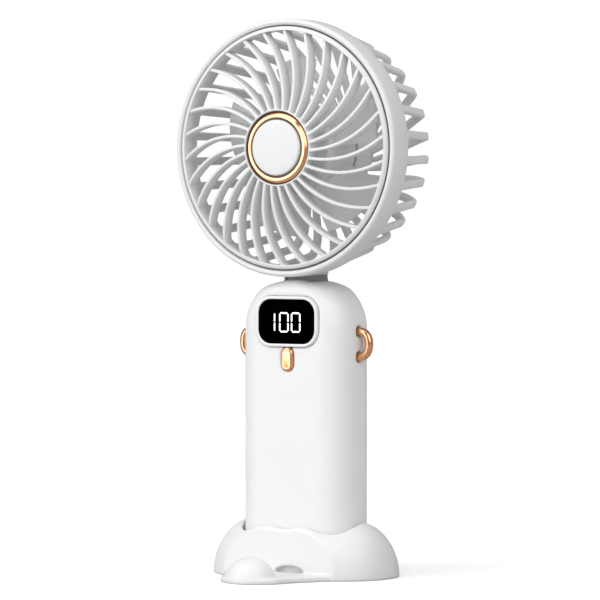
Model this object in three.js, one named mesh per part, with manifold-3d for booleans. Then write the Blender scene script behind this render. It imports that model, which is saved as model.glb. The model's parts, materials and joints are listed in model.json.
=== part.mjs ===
// Handheld electric fan standing in a removable base.
// Millimetres, +Z up. The fan blows toward -Y, and +X is on the right when seen from the front.
// The origin is on the handle's axis, on the plane that the base rests on.
import * as THREE from 'three';
import { mergeVertices } from 'three/addons/utils/BufferGeometryUtils.js';
import Module from 'manifold-3d';

const wasm = await Module();
wasm.setup();

// ---------------------------------------------------------------- driving dimensions

const GAP = 0.3;
const REACH = 200;

const BASE = {
  halfWidth: 37.2, halfDepth: 25, outlinePower: 2.2, lip: 0.1, bottom: 0.8, crestRatio: 0.6,
  rimHeight: 18.7, rimWaves: { 2: 0.43, 4: 0.77, 6: 0.92 },
  socketGap: 1, ledge: 7.7, ledgeInset: 4, chamberFloor: 3.2,
  facetTop: 17.8, facetFoot: 20.3, facetHeight: 18,
  slotFloor: 2.25, toeBack: 37.2, toeRadius: 10.8, toeHeight: 9.5, toeLength: 10,
  skirtPoints: [[25, -17], [18.8, -28], [11, -39]],
  skirtInward: [[-0.9, 0.4], [-0.9, 0.75], [-0.6, 0.8]],
  notchHalfWidth: 6.5, notchHeight: 2.7, notchEnd: 16.8, notchAside: 4.6,
  plateWidth: 32.5, plateDepth: 19, plateThickness: 1.2,
  padThickness: 0.5, padInset: 2.5,
};

const HANDLE = {
  halfWidth: 23.5, halfDepth: 13.25, corner: 11, bottom: 8, spring: 92.6, archHeight: 20.5,
  top: 110.8, crown: 5.8, wall: 2, cavityBottom: 10, cavityTop: 94.5, seam: 9,
};

const DISPLAY = {
  z: 95.4, width: 24.5, height: 16.5, corner: 5.2, rim: 1.2, proud: 0.85, rear: -12.3,
  pocketRear: -9.6, board: [23, 15], boardFront: -12, boardRear: -10.2,
};
const BUTTON = {
  z: 81.4, width: 4.9, height: 8.9, flange: 1, flangeRear: -10.5, rear: -11, pocketRear: -10,
};
const BOX = {
  controlBoard: [-11, 11, -8.1, -7, 60, 86],
  buttonSwitch: [-3, 3, -9.6, -8.2, 78.4, 84.4],
  battery: [-18, 18, -6.5, 3, 13, 77],
  batteryPad: [-14, 14, 3.3, 4.8, 40, 72],
  chargingBoard: [-8, 8, 4, 11, 26.8, 28],
};
const LOOP = { z: 87, footSpacing: 9.4, wire: 1.6, standOut: 4.1, root: 1.6 };
const PORT = { z: 30, width: 9, height: 3.2, wall: 0.35, inner: 6, back: 7, mouth: 13.3, tongue: 12.2 };

const HINGE = {
  y: 4, z: 104, barrel: 6, halfWidth: 5.8, slotHalfWidth: 7, neckHalfDepth: 6.5, floorGap: 0.6,
  pin: 1.5, pinHalf: 13, washer: 4.6, washerGap: 0.25,
};

const HEAD = {
  z: 160, radius: 48, wallInner: 45, wallRear: 5.6, wallFront: 15.7,
  seam: 45.9, seamLedge: 11, frontRound: [[0, 14.5], [0.4, 15.6], [1.1, 16.2]],
  ringOuter: 45.6, ringInner: 43.6, ringRear: 11.3, ringEdge: 15.9, ringFront: 16.9,
  spokes: 30, spokeThickness: 1.1, spokeDepth: 5,
  hubRadius: 14.3, hubRear: 15.5, hubFloor: 18.8, hubLip: 0.5, hubFront: 20.7,
  ribs: 30, ribThickness: 3.1, ribWidth: 2.3, firstRib: 6, cageBack: 23,
  rearHub: 16, rearHubWall: 1.2, coverSeat: 13.5, swirl: 22, swirlBulge: 0.23,
};
const TRIM = { outer: 13.5, inner: 10.9, rear: 19, front: 20.9, bevel: 0.6 };
const CAP = { radius: 10.5, rear: 19.1, front: 21.8, bevel: 0.6 };
const REAR_COVER = { radius: 13.1, inside: -21.5, back: -23.3, bevel: 0.7 };

const RIB = {
  legEnd: 41.8, legDepth: -17.2, corner: 41, cornerDepth: -20.9, backStart: 33,
  legShare: 1 / 6, cornerShare: 4 / 6, hubThickness: 1.8, steps: 6,
};
const MOTOR = {
  plateRear: -20.5, plateFront: -17.5, rimFront: -11.5, shaft: 0.8,
  tube: 3.2, tubeBore: 2.6, tubeRear: -19.8, tubeFront: -3.2,
  board: 12.3, boardRear: -17.2, boardFront: -16,
};
const ROTOR = {
  blades: 5, hub: 16, tip: 34, bladeAngle: 47, firstBlade: 3, bladeThickness: 1.4,
  pitchHeight: 12, bladeDrop: 0.5, bore: 1.1, boss: 4, cupInside: 13.9,
  front: 8, frontBevel: 1.6, roof: 6.2, bossRear: -1.3, boreEnd: 5.3, rear: -10,
};
const CAN = { outer: 13.6, inner: 12.9, rear: -13, front: -1.6, floor: -2.4, bore: 1.1 };
const MAGNET_RING = { outer: 12.5, inner: 11.3, rear: -12.8, front: -4 };
const SHAFT = { rear: -19.4, front: 5, clip: 2.2, clipRear: -18.9, clipFront: -18.5 };
const BEARING = { outer: 2.3, bore: 1.1, rear: [-18.2, -16], front: [-6, -3.8] };

const DEGREE = Math.PI / 180;

// ---------------------------------------------------------------- materials

function finish(color, roughness, metalness = 0) {
  return new THREE.MeshStandardMaterial({ color, roughness, metalness });
}

const WHITE = finish(0xf2f2f0, 0.42);
const HEAD_WHITE = finish(0xeeeeec, 0.4);
const COPPER = finish(0xd9945f, 0.2, 1);
const BLACK_GLOSS = finish(0x0a0a0b, 0.08);
const GREY = finish(0x9a9c9d, 0.5);
const STEEL = finish(0xb8babd, 0.3, 1);
const DARK_STEEL = finish(0x5d6064, 0.45, 1);
const BRASS = finish(0xc8a24a, 0.3, 1);
const WIRE = finish(0xb4582c, 0.35, 1);
const BOARD = finish(0x1d5b3a, 0.6);
const RUBBER = finish(0x3a3b3c, 0.9);
const CELL = finish(0x2f5fa8, 0.5);
const MAGNET = finish(0x2c2a2a, 0.7);

// ---------------------------------------------------------------- shape helpers

function toSolid(geometry) {
  const bare = geometry.clone();
  bare.deleteAttribute('normal');
  bare.deleteAttribute('uv');
  const merged = mergeVertices(bare);
  const index = merged.index.array;
  const kept = [];
  for (let i = 0; i < index.length; i += 3) {
    const [a, b, c] = [index[i], index[i + 1], index[i + 2]];
    if (a !== b && b !== c && c !== a) kept.push(a, b, c);
  }
  const vertProperties = new Float32Array(merged.attributes.position.array);
  const triVerts = new Uint32Array(kept);
  return new wasm.Manifold(new wasm.Mesh({ numProp: 3, vertProperties, triVerts }));
}

function toGeometry(solid) {
  const mesh = solid.getMesh();
  const geometry = new THREE.BufferGeometry();
  const positions = new THREE.BufferAttribute(new Float32Array(mesh.vertProperties), 3);
  geometry.setAttribute('position', positions);
  geometry.setIndex(new THREE.BufferAttribute(new Uint32Array(mesh.triVerts), 1));
  geometry.computeVertexNormals();
  return geometry;
}

function join(first, ...others) {
  return others.reduce((sum, other) => sum.add(other), first);
}

function cut(first, ...tools) {
  return tools.reduce((left, tool) => left.subtract(tool), first);
}

function piece(name, solid, material) {
  const mesh = new THREE.Mesh(toGeometry(solid), material);
  mesh.name = name;
  return mesh;
}

function box(x0, x1, y0, y1, z0, z1) {
  const geometry = new THREE.BoxGeometry(x1 - x0, y1 - y0, z1 - z0);
  geometry.translate((x0 + x1) / 2, (y0 + y1) / 2, (z0 + z1) / 2);
  return toSolid(geometry);
}

// A round bar along one axis, between two coordinates on that axis.
function rod(axis, radius, from, to, centre = [0, 0], segments = 24) {
  const geometry = new THREE.CylinderGeometry(radius, radius, to - from, segments);
  geometry.translate(0, (from + to) / 2, 0);
  if (axis === 'z') {
    geometry.rotateX(90 * DEGREE);
    geometry.translate(centre[0], centre[1], 0);
  } else if (axis === 'x') {
    geometry.rotateZ(-90 * DEGREE);
    geometry.translate(0, centre[0], centre[1]);
  } else {
    geometry.translate(centre[0], 0, centre[1]);
  }
  return toSolid(geometry);
}

// A profile of [radius, height] points turned about Z.
function revolve(profile, segments, centre = [0, 0]) {
  const points = profile.map(([radius, height]) => new THREE.Vector2(radius, height));
  if (THREE.ShapeUtils.area(points) < 0) points.reverse();
  const closesOnAxis = points[0].x === 0 && points[points.length - 1].x === 0;
  if (!closesOnAxis) points.push(points[0].clone());
  const geometry = new THREE.LatheGeometry(points, segments);
  geometry.rotateX(90 * DEGREE);
  geometry.translate(centre[0], centre[1], 0);
  return toSolid(geometry);
}

function ring(outer, inner, from, to, segments = 32, centre = [0, 0]) {
  return revolve([[inner, from], [outer, from], [outer, to], [inner, to]], segments, centre);
}

function roundedShape(width, height, corner) {
  const shape = new THREE.Shape();
  const [x, y, r] = [width / 2, height / 2, corner];
  shape.moveTo(-x + r, -y);
  shape.lineTo(x - r, -y);
  shape.absarc(x - r, -y + r, r, -90 * DEGREE, 0);
  shape.lineTo(x, y - r);
  shape.absarc(x - r, y - r, r, 0, 90 * DEGREE);
  shape.lineTo(-x + r, y);
  shape.absarc(-x + r, y - r, r, 90 * DEGREE, 180 * DEGREE);
  shape.lineTo(-x, -y + r);
  shape.absarc(-x + r, -y + r, r, 180 * DEGREE, 270 * DEGREE);
  return shape;
}

// A shape in the X-Z plane, pushed along Y from yFront to yRear, centred at height z.
function slabY(shape, yFront, yRear, z, curveSegments = 4) {
  const depth = yRear - yFront;
  const geometry = new THREE.ExtrudeGeometry(shape, { depth, bevelEnabled: false, curveSegments });
  geometry.rotateX(90 * DEGREE);
  geometry.translate(0, yRear, z);
  return toSolid(geometry);
}

// A shape in the X-Y plane, pushed up along Z.
function slabZ(shape, from, to, curveSegments = 6) {
  const depth = to - from;
  const geometry = new THREE.ExtrudeGeometry(shape, { depth, bevelEnabled: false, curveSegments });
  geometry.translate(0, 0, from);
  return toSolid(geometry);
}

// A bent bar: path(s) is its centre line, broad(s) the direction of its width.
function bar(path, broad, thicknessAt, width, steps) {
  const geometry = new THREE.BoxGeometry(1, 1, 1, steps, 1, 1);
  const position = geometry.attributes.position;
  const delta = 0.01;
  for (let i = 0; i < position.count; i += 1) {
    const s = position.getX(i) + 0.5;
    const ahead = path(Math.min(1, s + delta));
    const tangent = ahead.sub(path(Math.max(0, s - delta))).normalize();
    const across = broad(s).clone().cross(tangent).normalize();
    const point = path(s);
    point.addScaledVector(across, thicknessAt(s) * position.getY(i));
    point.addScaledVector(broad(s), width * position.getZ(i));
    position.setXYZ(i, point.x, point.y, point.z);
  }
  return toSolid(geometry);
}

function polar(radius, angle, height) {
  return new THREE.Vector3(radius * Math.cos(angle), radius * Math.sin(angle), height);
}

// A stack of closed sections: sectionPoint(index, level) gives [x, y], heights gives each z.
function loft(sectionPoint, count, heights) {
  const rows = heights.length - 1;
  const geometry = new THREE.CylinderGeometry(1, 1, 1, count, rows);
  const position = geometry.attributes.position;
  for (let i = 0; i < position.count; i += 1) {
    const [x, y, z] = [position.getX(i), position.getY(i), position.getZ(i)];
    const turn = Math.atan2(x, z) / (360 * DEGREE);
    const index = (Math.round(turn * count) + count) % count;
    const level = Math.round((y + 0.5) * rows);
    const radius = Math.round(Math.hypot(x, z));
    const [px, py] = sectionPoint(index, heights[level]);
    position.setXYZ(i, radius * px, radius * py, heights[level]);
  }
  return toSolid(geometry);
}

const CORNER_POINTS = 6;
const SECTION_POINTS = 4 * CORNER_POINTS;

function roundedRectanglePoint(index, halfWidth, halfDepth, corner) {
  const quadrant = Math.floor(index / CORNER_POINTS);
  const share = (index % CORNER_POINTS) / (CORNER_POINTS - 1);
  const angle = (quadrant + share) * 90 * DEGREE;
  const signX = quadrant === 0 || quadrant === 3 ? 1 : -1;
  const signY = quadrant < 2 ? 1 : -1;
  const x = signX * (halfWidth - corner) + corner * Math.cos(angle);
  const y = signY * (halfDepth - corner) + corner * Math.sin(angle);
  return [x, y];
}

// ---------------------------------------------------------------- stand

function baseOutlineRadius(angle) {
  const x = Math.abs(Math.cos(angle)) / BASE.halfWidth;
  const y = Math.abs(Math.sin(angle)) / BASE.halfDepth;
  return (x ** BASE.outlinePower + y ** BASE.outlinePower) ** (-1 / BASE.outlinePower);
}

// The rim rises at the sides and dips beside the handle's corners.
function baseRimHeight(angle) {
  const waves = Object.entries(BASE.rimWaves);
  const wave = ([count, height]) => height * Math.cos(count * angle);
  return waves.reduce((sum, entry) => sum + wave(entry), BASE.rimHeight);
}

function baseDome() {
  const steps = 6;
  const profile = [new THREE.Vector2(0, 0)];
  for (let i = 0; i <= steps; i += 1) {
    const angle = (90 * DEGREE * i) / steps;
    const radius = BASE.crestRatio + (1 - BASE.crestRatio) * Math.cos(angle);
    profile.push(new THREE.Vector2(radius, Math.sin(angle)));
  }
  profile.push(new THREE.Vector2(0, 1));
  const geometry = new THREE.LatheGeometry(profile, 48);
  geometry.rotateX(90 * DEGREE);
  const position = geometry.attributes.position;
  for (let i = 0; i < position.count; i += 1) {
    const [x, y, z] = [position.getX(i), position.getY(i), position.getZ(i)];
    const angle = Math.atan2(y, x);
    const radius = Math.hypot(x, y) * baseOutlineRadius(angle);
    const rise = (baseRimHeight(angle) - BASE.lip) * z;
    position.setXYZ(i, radius * Math.cos(angle), radius * Math.sin(angle), BASE.lip + rise);
  }
  return toSolid(geometry);
}

function superellipseShape(halfWidth, halfDepth) {
  const shape = new THREE.Shape();
  const steps = 28;
  const scale = halfWidth / BASE.halfWidth;
  for (let i = 0; i < steps; i += 1) {
    const angle = (360 * DEGREE * i) / steps;
    const radius = baseOutlineRadius(angle) * scale;
    const y = (radius * Math.sin(angle) * halfDepth) / (BASE.halfDepth * scale);
    if (i === 0) shape.moveTo(radius, 0);
    else shape.lineTo(radius * Math.cos(angle), y);
  }
  return shape;
}

// The low apron that joins the toe to the body, seen from above.
function skirtShape(inset) {
  const moved = BASE.skirtPoints.map(([x, y], i) => {
    const [dx, dy] = BASE.skirtInward[i];
    return [x + dx * inset, y + dy * inset];
  });
  const [[edge, start], [aside, forward], [toeEdge, toeStart]] = moved;
  const [round, back] = [BASE.toeLength - inset, -BASE.toeBack];
  const halfWidth = toeEdge / Math.sqrt(1 - ((toeStart - back) / round) ** 2);
  const turn = Math.asin((back - toeStart) / round);
  const shape = new THREE.Shape();
  const rear = [edge - 6, start + 8];
  shape.moveTo(-rear[0], rear[1]);
  shape.lineTo(-edge, start);
  shape.quadraticCurveTo(-aside, forward, -toeEdge, toeStart);
  shape.absellipse(0, back, halfWidth, round, 180 * DEGREE + turn, 360 * DEGREE - turn, false);
  shape.quadraticCurveTo(aside, forward, edge, start);
  shape.lineTo(...rear);
  return shape;
}

function toe() {
  const geometry = new THREE.SphereGeometry(1, 24, 12);
  geometry.rotateX(90 * DEGREE);
  geometry.scale(BASE.toeRadius, BASE.toeLength, BASE.toeHeight - BASE.lip);
  geometry.translate(0, -BASE.toeBack, BASE.lip);
  const frontHalf = box(-REACH, REACH, -REACH, -BASE.toeBack, BASE.lip, REACH);
  return toSolid(geometry).intersect(frontHalf);
}

// Everything in front of the inclined face that a phone leans on.
function facetTool() {
  const slope = (BASE.facetFoot - BASE.facetTop) / BASE.facetHeight;
  const shape = new THREE.Shape();
  shape.moveTo(-BASE.facetFoot, 0);
  shape.lineTo(-BASE.facetFoot + slope * REACH, REACH);
  shape.lineTo(-REACH, REACH);
  shape.lineTo(-REACH, 0);
  const options = { depth: REACH, bevelEnabled: false };
  const geometry = new THREE.ExtrudeGeometry(shape, options);
  geometry.translate(0, 0, -REACH / 2);
  geometry.rotateX(90 * DEGREE);
  geometry.rotateZ(90 * DEGREE);
  return toSolid(geometry);
}

// A low arched recess at the foot of the inclined face.
function fingerNotch() {
  const geometry = new THREE.CylinderGeometry(1, 1, BASE.halfDepth, 24);
  geometry.scale(BASE.notchHalfWidth, 1, BASE.notchHeight);
  const y = -BASE.halfDepth / 2 - BASE.notchEnd;
  geometry.translate(BASE.notchAside, y, BASE.slotFloor);
  const above = box(-REACH, REACH, -REACH, REACH, BASE.slotFloor + 0.1, REACH);
  return toSolid(geometry).intersect(above);
}

const BASE_SCREWS = [[-22.3, 0], [22.3, 0], [0, 13.4]];
const BASE_SCREW = { head: 2, shank: 0.9, bore: 1.2, seat: 0.6, tip: 6.5, bossTop: 6.8 };
const WEIGHT = { inner: 27.2, outer: 31.4, halfDepth: 10, top: 9.5 };

function plateTop() {
  return BASE.bottom + BASE.plateThickness;
}

function weightPocket(side) {
  const [near, far] = [side * (WEIGHT.inner - GAP), side * (WEIGHT.outer + GAP)];
  const [x0, x1] = [Math.min(near, far), Math.max(near, far)];
  const y = WEIGHT.halfDepth + GAP;
  return box(x0, x1, -y, y, 0, WEIGHT.top + GAP);
}

function baseShell() {
  const socket = [HANDLE.halfWidth + BASE.socketGap, HANDLE.halfDepth + BASE.socketGap];
  const corner = HANDLE.corner + BASE.socketGap;
  const socketPoint = (index) => roundedRectanglePoint(index, ...socket, corner);
  const chamber = socket.map((half) => half - BASE.ledgeInset);
  const chamberCorner = corner - BASE.ledgeInset;
  const chamberPoint = (index) => roundedRectanglePoint(index, ...chamber, chamberCorner);
  const plateRecess = superellipseShape(BASE.plateWidth + GAP, BASE.plateDepth + GAP);
  const body = join(
    baseDome().subtract(facetTool()),
    slabZ(skirtShape(0), BASE.lip, BASE.slotFloor),
    toe(),
  );
  const { bore, bossTop } = BASE_SCREW;
  const screwHoles = BASE_SCREWS.map((centre) => rod('z', bore, 0, bossTop, centre, 12));
  return cut(
    body,
    loft(socketPoint, SECTION_POINTS, [BASE.ledge, REACH]),
    loft(chamberPoint, SECTION_POINTS, [BASE.chamberFloor, REACH]),
    fingerNotch(),
    padBlank(BASE.padInset - GAP, BASE.bottom),
    slabZ(plateRecess, 0, plateTop() + GAP),
    weightPocket(-1),
    weightPocket(1),
    ...screwHoles,
  );
}

function bottomPlate() {
  const blank = slabZ(superellipseShape(BASE.plateWidth, BASE.plateDepth), BASE.bottom, plateTop());
  const step = BASE.bottom + BASE_SCREW.seat + 0.1;
  const holes = BASE_SCREWS.map((centre) => join(
    rod('z', BASE_SCREW.head + GAP, 0, step, centre, 16),
    rod('z', BASE_SCREW.bore, 0, REACH, centre, 12),
  ));
  return cut(blank, ...holes);
}

function baseScrew(centre) {
  const { head, shank, tip } = BASE_SCREW;
  const [from, seat] = [BASE.bottom + 0.1, BASE.bottom + BASE_SCREW.seat];
  return revolve([[0, from], [head, from], [head, seat], [shank, seat], [shank, tip], [0, tip]],
    12, centre);
}

// The outline of the foot, drawn in by an inset, from the ground up to a height.
function padBlank(inset, height) {
  const body = superellipseShape(BASE.halfWidth - inset, BASE.halfDepth - inset);
  return join(slabZ(body, 0, height), slabZ(skirtShape(inset), 0, height));
}

function stand() {
  const group = new THREE.Group();
  group.add(piece('base_shell', baseShell(), WHITE));
  group.add(piece('base_bottom_plate', bottomPlate(), WHITE));
  group.add(piece('base_non_slip_pad', padBlank(BASE.padInset, BASE.padThickness), RUBBER));
  for (const [name, side] of [['base_weight_left', -1], ['base_weight_right', 1]]) {
    const edges = [side * WEIGHT.inner, side * WEIGHT.outer].sort((a, b) => a - b);
    const bottom = plateTop() + 2 * GAP;
    const weight = box(...edges, -WEIGHT.halfDepth, WEIGHT.halfDepth, bottom, WEIGHT.top);
    group.add(piece(name, weight, DARK_STEEL));
  }
  BASE_SCREWS.forEach((centre, i) => {
    group.add(piece(`base_screw_${i + 1}`, baseScrew(centre), STEEL));
  });
  return group;
}

// ---------------------------------------------------------------- handle

function handleSection(index, z) {
  const rise = Math.max(0, z - HANDLE.spring) / HANDLE.archHeight;
  const halfWidth = HANDLE.halfWidth * Math.sqrt(1 - rise * rise);
  const over = Math.max(0, z - (HANDLE.top - HANDLE.crown));
  const drop = HANDLE.crown - Math.sqrt(Math.max(0, HANDLE.crown ** 2 - over ** 2));
  const halfDepth = HANDLE.halfDepth - drop;
  const corner = Math.min(HANDLE.corner, halfDepth - 0.2);
  return roundedRectanglePoint(index, halfWidth, halfDepth, corner);
}

function handleHeights() {
  const heights = [HANDLE.bottom, HANDLE.spring];
  const topAngle = Math.asin((HANDLE.top - HANDLE.spring) / HANDLE.archHeight);
  const steps = 8;
  for (let i = 1; i < steps; i += 1) {
    heights.push(HANDLE.spring + HANDLE.archHeight * Math.sin((topAngle * i) / steps));
  }
  heights.push(HANDLE.top);
  return heights;
}

function handleCavity() {
  const [x, y] = [HANDLE.halfWidth - HANDLE.wall - 0.1, HANDLE.halfDepth - HANDLE.wall];
  const point = (index) => roundedRectanglePoint(index, x, y, HANDLE.corner - HANDLE.wall);
  return loft(point, SECTION_POINTS, [HANDLE.cavityBottom, HANDLE.cavityTop]);
}

const HANDLE_SCREW_Z = 88.5;
const HANDLE_SCREW = {
  places: [-15.5, 15.5], boss: 2.8, bore: 1.1, counterbore: 2.2, seat: 11, shank: 0.85, head: 1.9,
  tip: 1, top: 12.2,
};

function hingeSlot() {
  const x = HINGE.slotHalfWidth;
  const front = -HINGE.neckHalfDepth - GAP;
  const floor = HINGE.z - HINGE.barrel - HINGE.floorGap;
  return box(-x, x, front, REACH, floor, REACH);
}

function handleBody() {
  return loft(handleSection, SECTION_POINTS, handleHeights());
}

function screwRods(radius, from, to, segments) {
  return HANDLE_SCREW.places.map((x) => rod('y', radius, from, to, [x, HANDLE_SCREW_Z], segments));
}

function handleFrontShell() {
  const half = handleBody().subtract(box(-REACH, REACH, HANDLE.seam, REACH, 0, REACH));
  const frontWall = -HANDLE.halfDepth + 1.25;
  const bosses = screwRods(HANDLE_SCREW.boss, frontWall, HANDLE.seam - 0.4, 14);
  const pocket = roundedShape(
    DISPLAY.width + 2 * DISPLAY.rim + 2 * GAP,
    DISPLAY.height + 2 * DISPLAY.rim + 2 * GAP,
    DISPLAY.corner + DISPLAY.rim,
  );
  const slack = 2 * GAP;
  const holeSize = [BUTTON.width + slack, BUTTON.height + slack];
  const buttonHole = roundedShape(...holeSize, holeSize[0] / 2 - 0.01);
  const pinBore = HINGE.pin + GAP;
  const tools = [
    slabY(pocket, -REACH, DISPLAY.pocketRear, DISPLAY.z),
    slabY(buttonHole, -REACH, BUTTON.pocketRear, BUTTON.z),
    hingeSlot(),
    rod('x', pinBore, -HINGE.pinHalf - GAP, HINGE.pinHalf + GAP, [HINGE.y, HINGE.z]),
  ];
  for (const side of [-1, 1]) {
    for (const foot of [-1, 1]) {
      const z = LOOP.z + (foot * LOOP.footSpacing) / 2;
      const ends = [side * (HANDLE.halfWidth - 3), side * REACH].sort((a, b) => a - b);
      tools.push(rod('x', LOOP.wire + GAP, ...ends, [0, z], 12));
    }
  }
  const screwBores = screwRods(HANDLE_SCREW.bore, -4, HANDLE.seam, 10);
  const shell = cut(half, handleCavity());
  return cut(join(shell, ...bosses), ...tools, ...screwBores);
}

function handleRearCover() {
  const front = HANDLE.seam + GAP;
  const { boss, bore, counterbore, seat } = HANDLE_SCREW;
  const half = handleBody().subtract(box(-REACH, REACH, -REACH, front, 0, REACH));
  const shell = join(half.subtract(handleCavity()), ...screwRods(boss, front, seat + 1, 14));
  const slack = 2 * GAP;
  const openingSize = [PORT.width + slack, PORT.height + slack];
  const opening = roundedShape(...openingSize, openingSize[1] / 2 - 0.01);
  return cut(
    shell,
    ...screwRods(bore, 0, HANDLE.halfDepth + 1, 10),
    ...screwRods(counterbore, seat, HANDLE.halfDepth + 1, 14),
    hingeSlot(),
    slabY(opening, 0, REACH, PORT.z),
  );
}

function handleScrew(x) {
  const { shank, head, tip, seat, top } = HANDLE_SCREW;
  const under = seat + 0.2;
  const profile = [[0, tip], [shank, tip], [shank, under], [head, under], [head, top], [0, top]];
  const screw = toGeometry(revolve(profile, 10));
  screw.rotateX(-90 * DEGREE);
  screw.translate(x, 0, HANDLE_SCREW_Z);
  return toSolid(screw);
}

function displayBezel() {
  const [width, height, rim] = [DISPLAY.width, DISPLAY.height, DISPLAY.rim];
  const front = -HANDLE.halfDepth - DISPLAY.proud;
  const outer = roundedShape(width + 2 * rim, height + 2 * rim, DISPLAY.corner + rim);
  const slack = 0.4;
  const inner = roundedShape(width + slack, height + slack, DISPLAY.corner + slack / 2);
  const blank = slabY(outer, front, DISPLAY.rear, DISPLAY.z);
  return blank.subtract(slabY(inner, -REACH, 0, DISPLAY.z));
}

function displayWindow() {
  const shape = roundedShape(DISPLAY.width, DISPLAY.height, DISPLAY.corner);
  return slabY(shape, -HANDLE.halfDepth - DISPLAY.proud, DISPLAY.rear, DISPLAY.z);
}

function displayBoard() {
  const shape = roundedShape(...DISPLAY.board, 1);
  return slabY(shape, DISPLAY.boardFront, DISPLAY.boardRear, DISPLAY.z, 2);
}

function powerButton() {
  const { width, height, flange, flangeRear, rear, z } = BUTTON;
  const pill = roundedShape(width, height, width / 2 - 0.01);
  const base = roundedShape(width + 2 * flange, height + 2 * flange, width / 2 + flange - 0.1);
  const front = -HANDLE.halfDepth - DISPLAY.proud;
  return join(slabY(pill, front, flangeRear, z), slabY(base, rear, flangeRear, z));
}

// A loop bent from round wire, standing out of the handle's side with both feet in its wall.
function lanyardLoop(side) {
  const foot = LOOP.footSpacing / 2;
  const inner = HANDLE.halfWidth - LOOP.root;
  const outer = HANDLE.halfWidth + LOOP.standOut;
  const round = Math.min(foot, LOOP.standOut) * 0.9;
  const corner = (z) => new THREE.Vector3(side * outer, 0, z);
  const low = LOOP.z - foot;
  const high = LOOP.z + foot;
  const path = new THREE.CurvePath();
  path.add(new THREE.LineCurve3(
    new THREE.Vector3(side * inner, 0, low),
    new THREE.Vector3(side * (outer - round), 0, low),
  ));
  path.add(new THREE.QuadraticBezierCurve3(
    new THREE.Vector3(side * (outer - round), 0, low), corner(low), corner(low + round),
  ));
  path.add(new THREE.LineCurve3(corner(low + round), corner(high - round)));
  path.add(new THREE.QuadraticBezierCurve3(
    corner(high - round), corner(high), new THREE.Vector3(side * (outer - round), 0, high),
  ));
  path.add(new THREE.LineCurve3(
    new THREE.Vector3(side * (outer - round), 0, high),
    new THREE.Vector3(side * inner, 0, high),
  ));
  const section = new THREE.Shape();
  section.absarc(0, 0, LOOP.wire, 0, 360 * DEGREE);
  const options = { steps: 16, extrudePath: path, curveSegments: 4 };
  return toSolid(new THREE.ExtrudeGeometry(section, options));
}

function hingeWasher(side) {
  const gap = HINGE.washerGap;
  const faces = [side * (HINGE.halfWidth + gap), side * (HINGE.slotHalfWidth - gap)];
  faces.sort((a, b) => a - b);
  const centre = [HINGE.y, HINGE.z];
  const bore = rod('x', HINGE.pin + GAP, -REACH, REACH, centre, 16);
  return rod('x', HINGE.washer, ...faces, centre, 16).subtract(bore);
}

function usbSocket() {
  const { width, height, wall, inner, back, mouth, tongue, z } = PORT;
  const shell = roundedShape(width, height, height / 2 - 0.01);
  const mouthShape = roundedShape(width - 2 * wall, height - 2 * wall, height / 2 - wall - 0.01);
  const [tongueHalfWidth, tongueHalf] = [3.3, 0.35];
  const blade = box(-tongueHalfWidth, tongueHalfWidth, inner + 0.2, tongue,
    z - tongueHalf, z + tongueHalf);
  const hollow = slabY(mouthShape, back, REACH, z);
  return join(slabY(shell, inner, mouth, z).subtract(hollow), blade);
}

function handle() {
  const group = new THREE.Group();
  group.add(piece('handle_front_shell', handleFrontShell(), WHITE));
  group.add(piece('handle_rear_cover', handleRearCover(), WHITE));
  HANDLE_SCREW.places.forEach((x, i) => {
    group.add(piece(`handle_screw_${i + 1}`, handleScrew(x), STEEL));
  });
  group.add(piece('display_bezel', displayBezel(), WHITE));
  group.add(piece('display_window', displayWindow(), BLACK_GLOSS));
  group.add(piece('display_board', displayBoard(), BOARD));
  group.add(piece('control_board', box(...BOX.controlBoard), BOARD));
  group.add(piece('button_switch', box(...BOX.buttonSwitch), DARK_STEEL));
  group.add(piece('battery_cell', box(...BOX.battery), CELL));
  group.add(piece('battery_pad', box(...BOX.batteryPad), RUBBER));
  group.add(piece('charging_board', box(...BOX.chargingBoard), BOARD));
  group.add(piece('usb_c_socket', usbSocket(), STEEL));
  group.add(piece('lanyard_loop_left', lanyardLoop(-1), COPPER));
  group.add(piece('lanyard_loop_right', lanyardLoop(1), COPPER));
  const pin = rod('x', HINGE.pin, -HINGE.pinHalf, HINGE.pinHalf, [HINGE.y, HINGE.z]);
  group.add(piece('hinge_pin', pin, STEEL));
  group.add(piece('hinge_washer_left', hingeWasher(-1), STEEL));
  group.add(piece('hinge_washer_right', hingeWasher(1), STEEL));
  group.add(piece('power_button', powerButton(), COPPER));
  return group;
}

// ---------------------------------------------------------------- head
// The head's pieces are drawn with Z along its axis, toward the front, and Y up.

// In plan, every spoke and rib leans the same way, from its rim angle to an earlier hub angle.
function swirlPoint(share, rimRadius, hubRadius, rimAngle) {
  const rim = polar(rimRadius, rimAngle, 0);
  const hub = polar(hubRadius, rimAngle - HEAD.swirl * DEGREE, 0);
  const chord = hub.clone().sub(rim);
  const bulge = new THREE.Vector3(-chord.y, chord.x, 0).multiplyScalar(HEAD.swirlBulge);
  const middle = rim.clone().add(hub).multiplyScalar(0.5).add(bulge);
  return new THREE.QuadraticBezierCurve3(rim, middle, hub).getPoint(share);
}

function spokeFront(radius) {
  const fall = (HEAD.hubFront - HEAD.ringFront) / (HEAD.ringInner ** 2 - HEAD.hubRadius ** 2);
  return HEAD.hubFront - fall * (radius ** 2 - HEAD.hubRadius ** 2) - 0.1;
}

function spoke(rimAngle) {
  const path = (s) => {
    const point = swirlPoint(s, HEAD.ringInner + 0.8, HEAD.hubRadius - 0.5, rimAngle);
    point.z = spokeFront(Math.hypot(point.x, point.y)) - HEAD.spokeDepth / 2;
    return point;
  };
  const forward = new THREE.Vector3(0, 0, 1);
  return bar(path, () => forward, () => HEAD.spokeThickness, HEAD.spokeDepth, 3);
}

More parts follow.
